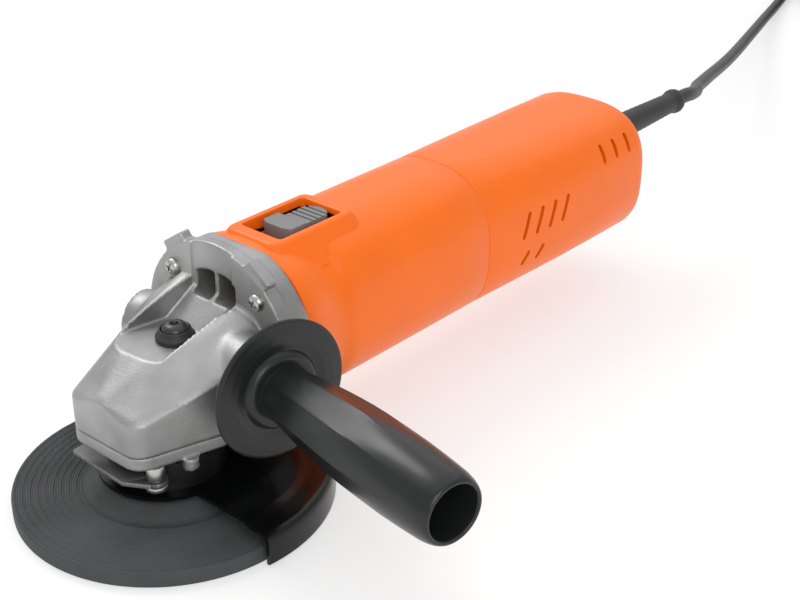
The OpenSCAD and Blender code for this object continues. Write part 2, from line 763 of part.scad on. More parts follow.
module gear_head() {
    color("gainsboro") difference() {
        union() {
            head_block();
            head_mount_plate();
            handle_boss(1);
            handle_boss(-1);
        }
        head_cavities();
        air_outlet();
        for (s = [-1, 1]) {
            on_handle(s) translate([0, 0, -bush_l]) cylinder(r = bush_r, h = bush_l + EPS);
            for (v = [-1, 1]) on_motor(ring_y - 6) translate([s * head_screw_x, v * head_screw_dz, 0]) {
                cylinder(r = head_screw_d / 2 + seat_gap, h = 40, $fn = 32);
                cylinder(r = head_screw_head_d / 2 + 1, h = 6, $fn = 32);
            }
            for (y = FLANGE_SCREW_Y) translate([s * flange_screw_x(y), y, head_z - EPS])
                cylinder(r = 1.9, h = plate_t + 9, $fn = 32);
        }
    }
}

module head_screws() {
    color("silver") for (s = [-1, 1]) for (v = [-1, 1])
        on_motor(ring_y) translate([s * head_screw_x, v * head_screw_dz, 0]) difference() {
            union() {
                translate([0, 0, -2.6]) cylinder(r = head_screw_head_d / 2, h = 2.6, $fn = 32);
                cylinder(r = head_screw_d / 2, h = 27, $fn = 32);
            }
            for (a = [0, 90]) rotate([0, 0, a]) translate([-2.2, -0.5, -3]) cube([4.4, 1, 2]);
        }
}

module plate_outline(grow = 0) {
    hull() for (s = [-1, 1]) {
        translate([s * (head_front_w / 2 - head_corner_r), head_corner_r - head_front_y])
            circle(r = head_corner_r + grow, $fn = HULL_FN);
        translate([s * 19, 5]) circle(r = 11 + grow, $fn = HULL_FN);
        translate([s * 22, 18]) circle(r = 8 + grow, $fn = HULL_FN);
    }
}

module bearing_flange() {
    color("gainsboro") difference() {
        union() {
            translate([0, 0, head_z]) linear_extrude(plate_t) plate_outline();
            translate([0, 0, neck_end_z]) cylinder(r = neck_d / 2, h = head_z - neck_end_z + EPS);
            translate([25.4, -9.5, head_z - 4.5]) cylinder(r = 3.2, h = 5, $fn = 32);
        }
        translate([0, 0, bearing_z]) cylinder(r = spindle_bearing_d / 2, h = 40);
        translate([0, 0, seal_z]) cylinder(r = seal_r, h = 20);
        translate([0, 0, neck_end_z - EPS]) cylinder(r = shoulder_d / 2 + free_gap, h = 20);
        for (s = [-1, 1]) for (y = FLANGE_SCREW_Y) translate([s * flange_screw_x(y), y, 0]) {
            translate([0, 0, head_z - EPS]) cylinder(r = 2, h = 20, $fn = 32);
            translate([0, 0, head_z - EPS]) cylinder(r = 3.2, h = EPS + 2.2, $fn = 32);
        }
        translate([lever_pivot_x, lever_pivot_y, head_z - EPS])
            cylinder(r = lever_pivot_d / 2 + seat_gap, h = plate_t - 0.5 + EPS);
    }
}

module flange_screws() {
    color("silver") for (s = [-1, 1]) for (y = FLANGE_SCREW_Y)
        translate([s * flange_screw_x(y), y, head_z]) {
            translate([0, 0, 0.4]) cylinder(r = 3, h = 1.8, $fn = 32);
            translate([0, 0, 2]) cylinder(r = 1.85, h = plate_t + 5, $fn = 32);
        }
}

module front_bearing_plate() {
    color("silver") on_motor(front_bearing_y + front_bearing_w) difference() {
        cylinder(r = front_bearing_d / 2 - seat_gap, h = plate_y - front_bearing_y - front_bearing_w + 2);
        translate([0, 0, -EPS]) cylinder(r = shaft_d / 2 + free_gap, h = 20);
    }
}

module handle_bush(side) {
    color("gray") on_handle(side) translate([0, 0, -bush_l]) difference() {
        cylinder(r = bush_r - seat_gap, h = bush_l + 1);
        translate([0, 0, -EPS]) cylinder(r = stud_d / 2 + run_gap, h = bush_l + 4);
    }
}

module handle_bushes() {
    for (side = [1, -1]) handle_bush(side);
}

// ---------- Lock button ----------

module lock_button() {
    color("black") translate([0, button_y, spot_z]) difference() {
        rotate_extrude() polygon([
            [0, stem_low], [0, lock_travel + button_h], [2.6, lock_travel + button_h],
            [3.9, lock_travel + button_h - 0.5], [4.9, lock_travel + button_h - 1.3],
            [button_r, lock_travel + button_h - 2.3], [button_r, lock_travel + 0.2],
            [button_stem_r, lock_travel + 0.2], [button_stem_r, stem_low]]);
        translate([0, 0, lock_travel + button_h - 1.2]) cylinder(r = 1.6, h = 4, $fn = 32);
        translate([0, 0, stem_low - EPS]) cylinder(r = lock_pin_d / 2 + seat_gap, h = lock_travel + 3.5, $fn = 32);
    }
}

// Rubber collar that stands on the spot, round the button
module lock_button_collar() {
    color("black") translate([0, button_y, spot_z]) rotate_extrude() polygon([
        [button_r + button_gap, 0], [button_collar_r, 0], [button_collar_r, 1.6], [button_collar_r - 0.4, 2.4],
        [button_r + 1.1, lock_travel + 0.7], [button_r + button_gap, lock_travel + 0.7]]);
}

module lock_pin() {
    pin_low = hub_gear_top_z + lock_pin_clear;
    color("silver") translate([0, button_y, pin_low])
        cylinder(r = lock_pin_d / 2, h = spot_z + lock_travel + 0.9 - pin_low, $fn = 32);
}

module lock_spring() {
    color("gray") translate([0, button_y, spring_z + 0.05])
        coil_spring(1.9, spot_z + stem_low - spring_z - 0.1, 5, 0.28);
}

// ---------- Guard ----------

module guard_area(z0, h) {
    reach = guard_d;
    translate([0, guard_front_y, z0]) cube([reach, reach, h]);
    translate([-reach, guard_back_left_y, z0]) cube([reach + EPS, reach, h]);
}

module guard_shell() {
    corner = 2.5;
    color("black") difference() {
        union() {
            intersection() {
                rotate_extrude($fn = 128) polygon([
                    [collar_in_r + collar_wall, guard_top_z], [collar_in_r + collar_wall, guard_top_z - guard_t],
                    [guard_r - 14, guard_top_z - guard_t],
                    [guard_r - 10, guard_top_z - guard_t - 1.5], [guard_r - guard_t - corner / 2, guard_top_z - guard_t - 1.5],
                    [guard_r - guard_t, guard_top_z - guard_t - 1.5 - corner / 2],
                    [guard_r - guard_t, guard_low_z], [guard_r, guard_low_z],
                    [guard_r, guard_top_z - 1.5 - corner], [guard_r - corner, guard_top_z - 1.5],
                    [guard_r - 10, guard_top_z - 1.5], [guard_r - 14, guard_top_z]]);
                guard_area(0, guard_top_z + EPS);
            }
            translate([0, 0, guard_top_z - guard_t])
                ring(guard_ring_r, collar_in_r + collar_wall, guard_t);
        }
    }
}

module guard_collar() {
    notches = 24;
    color("dimgray") difference() {
        translate([0, 0, guard_top_z - guard_t])
            cylinder(r = collar_in_r + collar_wall - seat_gap, h = collar_top_z - guard_top_z + guard_t);
        translate([0, 0, 0]) cylinder(r = collar_in_r, h = 60);
        for (k = [0 : notches - 1]) rotate([0, 0, k * 360 / notches])
            translate([collar_in_r + collar_wall - 0.8, -1, collar_top_z - 3]) cube([3, 2, 4]);
    }
}

module guard_lever() {
    tip_x = lever_pivot_x - lever_l;
    color("black") translate([0, 0, lever_z]) difference() {
        union() {
            translate([lever_pivot_x, lever_pivot_y, 0]) cylinder(r = 4.5, h = lever_t);
            linear_extrude(lever_t) polygon([
                [lever_pivot_x + 2, lever_pivot_y - 4.2], [lever_pivot_x - 8, -24.6 - lever_w],
                [tip_x + 1, -23.4 - lever_w], [tip_x, -22.4 - lever_w], [tip_x, -24],
                [lever_pivot_x - 11, -25.4], [lever_pivot_x - 3.6, lever_pivot_y + 3]]);
        }
        translate([lever_pivot_x, lever_pivot_y, -EPS])
            cylinder(r = lever_pivot_d / 2 + run_gap, h = lever_t + 2 * EPS);
    }
}

module lever_pivot() {
    color("silver") translate([lever_pivot_x, lever_pivot_y, 0]) {
        translate([0, 0, lever_z - 2.3]) cylinder(r = 4.4, h = 2.3 - free_gap / 2);
        translate([0, 0, lever_z - 1]) cylinder(r = lever_pivot_d / 2, h = head_z + plate_t - 0.6 - lever_z + 1);
        translate([0, 0, lever_z + lever_t + free_gap / 2])
            cylinder(r = 3.8, h = head_z - lever_z - lever_t - free_gap / 2);
    }
}

// ---------- Side handle ----------

module handle_grip() {
    disc_r = disc_d / 2;
    grip_r = grip_d / 2;
    color("dimgray") on_handle(1) translate([0, 0, 15.2]) difference() {
        rotate_extrude() polygon([
            [0, -13.9], [10.5, -13.9], [11, -2.5], [disc_r - 4, -2.5], [disc_r - 0.8, -1], [disc_r, 0.6],
            [disc_r - 1, 1.4], [disc_r - 6, 1.8], [16, 1], [15, 3], [13, 3.6], [11.4, 3],
            [11.2, 8], [12.6, 20], [grip_r - 0.7, 35], [grip_r, 52], [grip_r, 74],
            [grip_r - 0.8, grip_l - 9], [grip_r - 1.6, grip_l - 4], [grip_r - 2.6, grip_l], [0, grip_l]]);
        translate([0, 0, grip_l - 62]) cylinder(r = 10.4, h = 64);
        translate([0, 0, -15]) cylinder(r = stud_d / 2 + seat_gap, h = 42);
    }
}

module handle_stud() {
    color("silver") on_handle(1) translate([0, 0, -10]) cylinder(r = stud_d / 2, h = 51);
}

// ---------- Motor housing ----------

module motor_housing() {
    length = seam_y - joint_y;
    color("orangered") difference() {
        union() {
            intersection() {
                on_motor(joint_y) rotate_extrude() polygon([
                    [0, 0], [front_r - 0.4, 0], [front_r, 1], [front_r - 0.6, 9],
                    [waist_r + 1.2, waist_y - joint_y - 6], [waist_r, waist_y - joint_y],
                    [waist_r + 0.6, waist_y - joint_y + 2.5], [barrel_r - 1.2, barrel_y - joint_y - 3],
                    [barrel_r, barrel_y - joint_y], [barrel_r, length], [0, length]]);
                union() {
                    on_motor(joint_y) linear_extrude(waist_y - joint_y + 1) squarish(front_w, front_h, front_r + 2);
                    on_motor(waist_y) linear_extrude(seam_y - waist_y) squarish(barrel_w, barrel_h, front_r + 2);
                }
            }
            switch_deck();
        }
        on_motor(joint_y - EPS) cylinder(r = fan_bore_r, h = stack_y - joint_y + 2 * EPS);
        on_motor(stack_y) cylinder(r = housing_bore_d / 2, h = bridge_y - stack_y);
        on_motor(bridge_y + bridge_t) cylinder(r = housing_bore_d / 2, h = 60);
        on_motor(bridge_y - EPS) cylinder(r = rear_bearing_d / 2 + sleeve_wall, h = 60);
        for (a = [45 : 90 : 315]) on_motor(bridge_y - EPS) rotate([0, 0, a]) translate([21.8, 0, 0])
            cylinder(r = 6.5, h = bridge_t + 2 * EPS);
        translate([-well_w / 2, well_y0, well_z]) cube([well_w, well_y1 - well_y0, 20]);
        translate([-rod_w / 2 - free_gap, well_y0 + 4, rod_z - 0.3])
            cube([rod_w + 2 * free_gap, seam_y - well_y0, rod_h + 0.8]);
        translate([-rod_w / 2 - free_gap, rod_bend_y - slide_travel - 1, rod_low_z - 0.4])
            cube([rod_w + 2 * free_gap, seam_y - rod_bend_y + slide_travel + 2, 5]);
        for (s = [-1, 1]) for (v = [-1, 1]) on_motor(joint_y - EPS)
            translate([s * head_screw_x, v * head_screw_dz, 0]) cylinder(r = head_screw_d / 2 + seat_gap, h = 14, $fn = 32);
        for (s = [-1, 1]) on_motor(bridge_y - EPS)
            translate([s * cover_screw_x, 0, 0]) cylinder(r = 1.9, h = 20, $fn = 32);
    }
    color("orangered") rear_bearing_cup();
}

// Cup that holds the rear armature bearing, on the bridge behind the brushes
module rear_bearing_cup() {
    on_motor(bridge_y) ring(rear_bearing_d / 2 + sleeve_wall + 2.6, rear_bearing_d / 2 + sleeve_wall,
        rear_bearing_y + rear_bearing_w + 1.5 - bridge_y);
}

module switch_deck() {
    hull() {
        for (s = [-1, 1]) for (y = [deck_y0 + 4, deck_y1 - 4]) {
            translate([s * (deck_w / 2 - 4), y, deck_z - 1.2]) cylinder(r = 4, h = 1.2, $fn = HULL_FN);
            translate([s * (deck_w / 2 - 3), y, deck_z - 12]) cylinder(r = 6, h = 6, $fn = HULL_FN);
        }
    }
}

module switch_slider() {
    half = slider_w / 2;
    pad = 10;
    low = well_z + free_gap / 2;
    color("gray") difference() {
        union() {
            translate([0, slider_y0 + 6, low]) intersection() {
                translate([-half, -6, 0]) cube([slider_w, pad, slider_z - low]);
                translate([0, 9, 0]) cylinder(r = 15.6, h = slider_z - low);
            }
            translate([-half + 2.2, slider_y0 + pad - EPS, low])
                cube([slider_w - 3.2, slider_l - pad - 3, slider_z - 1 - low]);
            translate([0.6, slider_y0 + slider_l - 7, low]) intersection() {
                cylinder(r = 7, h = slider_z - 1 - low);
                translate([-half + 1.6, -1, 0]) cube([slider_w - 3.2, 9, slider_z]);
            }
        }
        for (k = [0 : 3]) translate([-half, slider_y0 + 14.5 + k * 2.9, slider_z - 2])
            cube([slider_w + 2, 1.1, 3]);
        translate([-rod_w / 2 - seat_gap, rod_y0 - seat_gap, low - 1])
            cube([rod_w + 2 * seat_gap, 40, rod_z + rod_h + seat_gap - low + 1]);
    }
}

module slider_rod() {
    color("dimgray") {
        translate([-rod_w / 2, rod_y0, rod_z]) cube([rod_w, rod_bend_y + 3 - rod_y0, rod_h]);
        translate([-rod_w / 2, rod_bend_y, rod_low_z]) cube([rod_w, rod_y1 - rod_bend_y, rod_z + 0.2 - rod_low_z]);
    }
}

// ---------- Stator and brushes ----------

module stator_core() {
    in_r = armature_d / 2 + air_gap;
    color("gray") on_motor(stack_y) difference() {
        ring(housing_bore_d / 2 - seat_gap, in_r, stack_l);
        for (a = [35, 125, 215, 305]) translate([0, 0, -EPS])
            ring_sector(28.2, in_r + 0.8, stack_l + 2 * EPS, a, a + 20);
    }
}

module field_windings() {
    in_r = armature_d / 2 + air_gap + 1;
    out_r = 28;
    color("chocolate") on_motor(stack_y) for (pole = [90, 270]) rotate([0, 0, pole]) {
        for (s = [-55, 36]) translate([0, 0, -winding_end_l])
            ring_sector(out_r, in_r, stack_l + 2 * winding_end_l, s + 0.5, s + 18.5);
        for (z = [-winding_end_l, stack_l + 0.2]) translate([0, 0, z])
            ring_sector(out_r - 0.3, in_r + 0.3, winding_end_l - 0.2, -50, 50);
    }
}

module baffle_ring() {
    color("black") on_motor(fan_y + fan_w + 1.5) rotate_extrude() polygon([
        [fan_bore_r - seat_gap, 0], [18, 0], [16.5, 1], [16.5, 4], [18, 3], [fan_bore_r - seat_gap, 2]]);
}

module rear_bearing_sleeve() {
    color("black") on_motor(rear_bearing_y - 0.5)
        ring(rear_bearing_d / 2 + sleeve_wall - seat_gap, rear_bearing_d / 2, rear_bearing_w + 1);
}

module on_brush(side) {
    translate([0, brush_y, axis_h]) rotate([0, side * 90, 0]) children();
}

module brush_holders() {
    w = brush_w + 2 * holder_wall;
    h = brush_h + 2 * holder_wall;
    start = commutator_d / 2 + 2;
    color("goldenrod") for (s = [-1, 1]) on_brush(s) difference() {
        translate([-h / 2, -w / 2, start]) cube([h, w, housing_bore_d / 2 - 0.8 - start]);
        translate([-brush_h / 2 - seat_gap, -brush_w / 2 - seat_gap, 0])
            cube([brush_h + 2 * seat_gap, brush_w + 2 * seat_gap, housing_bore_d / 2 - 1.8]);
    }
}

module carbon_brushes() {
    start = commutator_d / 2 + 0.35;
    color("darkslategray") for (s = [-1, 1]) on_brush(s)
        translate([-brush_h / 2, -brush_w / 2, start]) cube([brush_h, brush_w, brush_l]);
}

module brush_springs() {
    start = commutator_d / 2 + 0.35 + brush_l;
    color("silver") for (s = [-1, 1]) on_brush(s)
        translate([0, 0, start]) coil_spring(2.4, housing_bore_d / 2 - 1.9 - start, 3, 0.4);
}

// ---------- Rear cover and what it holds ----------

// Rounded body of the rear cover, or the hollow inside it when shrink is a wall thickness
module cover_form(shrink = 0) {
    y0 = seam_y - (shrink > 0 ? 1 : 0);
    y1 = rear_y - (shrink > 0 ? shrink + 0.4 : 0);
    wide0 = barrel_w / 2 - shrink;
    wide1 = rear_w / 2 - shrink;
    high0 = barrel_h / 2 - shrink;
    high1 = rear_h / 2 - shrink;
    r1 = rear_r - shrink;
    intersection() {
        on_motor(y0) rotate_extrude() polygon([
            [0, 0], [barrel_r - shrink, 0], [r1, 60], [r1, y1 - y0 - 6], [r1 - 1.6, y1 - y0 - 2],
            [r1 - 5, y1 - y0], [0, y1 - y0]]);
        translate([0, 0, axis_h - 60]) linear_extrude(120) polygon([
            [-wide0, y0], [wide0, y0], [wide1, y0 + 60], [wide1, y1 - 5], [wide1 - 1.3, y1 - 1.5],
            [wide1 - 4, y1], [4 - wide1, y1], [1.3 - wide1, y1 - 1.5], [-wide1, y1 - 5], [-wide1, y0 + 60]]);
        translate([-60, 0, axis_h]) rotate([90, 0, 90]) linear_extrude(120) polygon([
            [y0, -high0], [y0 + 60, -high1], [y1 - 5, -high1], [y1 - 1.5, 1.3 - high1], [y1, 4 - high1],
            [y1, high1 - 4], [y1 - 1.5, high1 - 1.3], [y1 - 5, high1], [y0 + 60, high1], [y0, high0]]);
    }
}

module rear_cover() {
    color("orangered") difference() {
        union() {
            difference() {
                cover_form();
                cover_form(cover_wall);
            }
            cover_ribs();
        }
        cover_vents();
        on_motor(seam_y - EPS) cylinder(r = rear_bearing_d / 2 + sleeve_wall + 3.2, h = 24);
        translate([sleeve_x, rear_y - 30, sleeve_z]) rotate([-90, 0, 0])
            cylinder(r = sleeve_r0 + seat_gap, h = 60);
        for (s = [-1, 1]) on_motor(seam_y - EPS) translate([s * cover_screw_x, 0, 0]) {
            cylinder(r = 1.9, h = 50, $fn = 32);
            translate([0, 0, cover_screw_y - seam_y + EPS]) cylinder(r = 3.2, h = 20, $fn = 32);
        }
        for (s = [-1, 1]) translate([sleeve_x + s * clamp_screw_x, clamp_y, sleeve_z - 20])
            cylinder(r = 1.2 + seat_gap, h = 40, $fn = 32);
    }
}

// Shelves inside the cover: one carries the switch, one the capacitor, and two screw towers
module cover_ribs() {
    for (s = [-1, 1]) translate([s * (switch_w / 2 + 1.5) - 1.5, switch_y, axis_h - 31])
        cube([3, switch_l, switch_top_z - 4 - axis_h + 31]);
    for (s = [-1, 1]) translate([s * cover_screw_x - 4, seam_y, axis_h - rear_h / 2 + 1.5])
        cube([8, cover_screw_y + 4 - seam_y, rear_h / 2 + 3]);
    translate([sleeve_x - 10, clamp_y - 7, axis_h - rear_h / 2 + 1])
        cube([20, 14, sleeve_z - clamp_top - axis_h + rear_h / 2 - 1]);
}

module cover_vents() {
    slot_w = 2.4;
    for (s = [-1, 1]) {
        for (k = [0 : 3]) translate([s * (rear_w / 2 - 2), 189.8 + 9.5 * k, axis_h + 4.5])
            rotate([-21, 0, 0]) cube([10, slot_w, 13], center = true);
        for (k = [0 : 1]) translate([s * (rear_w / 2 - 2), 190.5 + 10.5 * k, axis_h - 12.3])
            rotate([-33, 0, 0]) cube([12, slot_w, 8], center = true);
        for (k = [0 : 2]) translate([s * 31.5, 252 + 10.5 * k, axis_h + 20])
            cube([12, slot_w, 9], center = true);
    }
}

module cover_screws() {
    color("gray") for (s = [-1, 1]) translate([s * cover_screw_x, 0, 0]) {
        on_motor(bridge_y + 0.5) cylinder(r = 1.85, h = cover_screw_y - bridge_y, $fn = 32);
        on_motor(cover_screw_y) cylinder(r = 3, h = 2.2, $fn = 32);
    }
    color("gray") for (s = [-1, 1])
        translate([sleeve_x + s * clamp_screw_x, clamp_y, sleeve_z]) {
            translate([0, 0, -16]) cylinder(r = 1.2, h = 16 + clamp_top + 0.5, $fn = 32);
            translate([0, 0, clamp_top]) cylinder(r = 2.3, h = 1.6, $fn = 32);
        }
}

module switch_block() {
    color("black") difference() {
        translate([-switch_w / 2, switch_y, switch_top_z - switch_h]) cube([switch_w, switch_l, switch_h]);
        translate([-rod_w / 2 - free_gap, switch_y - EPS, rod_low_z - 0.4]) cube([rod_w + 2 * free_gap, 16, 10]);
    }
}

module capacitor() {
    color("goldenrod") translate([-switch_w / 2 + 2, switch_y + 4, axis_h - 29.8]) cube([switch_w - 4, 22, 12]);
}

module cable_clamp() {
    color("black") translate([sleeve_x, clamp_y, sleeve_z]) difference() {
        translate([-10, -5, -clamp_top]) cube([20, 10, 2 * clamp_top]);
        translate([0, -20, 0]) rotate([-90, 0, 0]) cylinder(r = cord_d / 2 + seat_gap, h = 40);
        for (s = [-1, 1]) translate([s * clamp_screw_x, 0, -20]) cylinder(r = 1.2 + seat_gap, h = 40, $fn = 32);
    }
}

// ---------- Mains lead ----------

module strain_relief() {
    rings = 9;
    color("dimgray") translate([sleeve_x, rear_y, sleeve_z]) rotate([-90, 0, 0]) rotate_extrude()
        polygon([
            [0, -5.5], [9, -5.5], [9, -3.6], [sleeve_r0, -3.6], [sleeve_r0, 1], [sleeve_r1, sleeve_l - 6],
            [bead_r - 0.8, sleeve_l - 5], [bead_r, sleeve_l - 3], [bead_r - 0.8, sleeve_l - 1],
            [sleeve_r1 - 0.6, sleeve_l], [0, sleeve_l]]);
}

module mains_cord() {
    color("dimgray") for (route = [CORD_PTS, TAIL_PTS]) tube(smooth_path(route, 3), cord_d / 2, 10);
}

module cord_coil() {
    color("dimgray") translate(COIL_AT) rotate_extrude()
        translate([coil_mid_r - coil_half_w, 0]) square([2 * coil_half_w, coil_h]);
}

module cord_tie() {
    t = 1.2;
    color("black") translate(COIL_AT) rotate([0, 0, 112]) rotate_extrude(angle = 8) difference() {
        translate([coil_mid_r - coil_half_w - t, 0]) square([2 * (coil_half_w + t), coil_h + t]);
        translate([coil_mid_r - coil_half_w, -EPS]) square([2 * coil_half_w, coil_h + EPS]);
    }
}

module plug_body() {
    color("black") translate(PLUG_AT + [0, 0, plug_r]) rotate([-90, 0, 0]) rotate_extrude()
        polygon([[0, -plug_l / 2], [plug_r - 1, -plug_l / 2], [plug_r, -plug_l / 2 + 1],
            [plug_r, -plug_l / 2 + 13], [plug_r - 5, -plug_l / 2 + 19], [8, plug_l / 2 - 8],
            [6, plug_l / 2 + 10], [0, plug_l / 2 + 10]]);
}

module plug_pins() {
    pin_pitch = 19;
    color("silver") for (s = [-1, 1]) translate(PLUG_AT + [s * pin_pitch / 2, -plug_l / 2, plug_r])
        rotate([90, 0, 0]) cylinder(r = 2.4, h = 19, $fn = 32);
}

gear_head();
bearing_flange();
flange_screws();
head_screws();
needle_bearing();
spindle_bearing_outer();
shaft_seal();
front_bearing_outer();
front_bearing_plate();
handle_bushes();
motor_housing();
stator_core();
field_windings();
baffle_ring();
rear_bearing_outer();
rear_bearing_sleeve();
brush_holders();
carbon_brushes();
brush_springs();
rear_cover();
cover_screws();
switch_block();
capacitor();
cable_clamp();
strain_relief();
mains_cord();
cord_coil();
cord_tie();
plug_body();
plug_pins();
spindle();
crown_gear();
gear_clip();
spindle_bearing_inner();
spindle_bearing_balls();
inner_flange();
grinding_wheel();
clamp_nut();
armature_shaft();
pinion();
pinion_nut();
armature_core();
armature_windings();
commutator();
fan();
front_bearing_inner();
rear_bearing_inner();
armature_bearing_balls();
guard_shell();
guard_collar();
guard_lever();
lever_pivot();
lock_button_collar();
lock_button();
lock_pin();
lock_spring();
switch_slider();
slider_rod();
handle_grip();
handle_stud();
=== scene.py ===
"""Looks for the corded angle grinder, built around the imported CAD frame.

The sizes in the classes are in millimetres and become metres in MM. The frame is the CAD's:
origin on the spindle axis in the plane of the wheel's lower face, +Z up the spindle, +Y back
along the motor and +X towards the fitted side handle.
"""

import json
import logging
import math
from dataclasses import dataclass
from enum import Enum
from typing import Callable, Iterable, Optional, Sequence

import bmesh
import bpy
from mathutils import Matrix, Vector


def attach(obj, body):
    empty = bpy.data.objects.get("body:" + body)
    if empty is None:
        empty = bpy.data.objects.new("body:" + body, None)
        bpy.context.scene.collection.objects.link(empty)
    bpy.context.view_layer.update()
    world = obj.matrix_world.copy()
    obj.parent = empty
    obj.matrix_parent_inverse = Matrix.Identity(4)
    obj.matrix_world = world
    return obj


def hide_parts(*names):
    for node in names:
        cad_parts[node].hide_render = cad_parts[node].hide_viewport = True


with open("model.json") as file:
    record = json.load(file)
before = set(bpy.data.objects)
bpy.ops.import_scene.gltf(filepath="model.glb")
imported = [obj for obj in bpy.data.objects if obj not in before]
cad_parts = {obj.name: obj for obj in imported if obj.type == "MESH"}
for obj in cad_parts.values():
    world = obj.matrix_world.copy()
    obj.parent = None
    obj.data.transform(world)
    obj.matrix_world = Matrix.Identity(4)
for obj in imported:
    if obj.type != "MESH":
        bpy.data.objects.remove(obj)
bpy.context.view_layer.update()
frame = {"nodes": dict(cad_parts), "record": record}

logging.basicConfig(level=logging.INFO, format="%(message)s")
log = logging.getLogger("angle_grinder")

MM = 0.001
AXIS_Z = 58.0
HANDLE_LEAN = 10.4
Ring = list[Vector]
MADE: dict[str, bpy.types.Material] = {}
COAT_ROUGH = 0.15
MOTTLE_SCALE = 38.0
RAMP_LOW, RAMP_HIGH = 0.3, 0.7
WEAR_FROM, WEAR_TO = 0.515, 0.60
CAST_SMOOTH_ANGLE = 60.0


class Grain(Enum):
    """Kinds of fine surface relief."""

    MOULDED = "moulded"
    CAST = "cast"
    TURNED = "turned"
    GRIT = "grit"
    BRUSHED = "brushed"


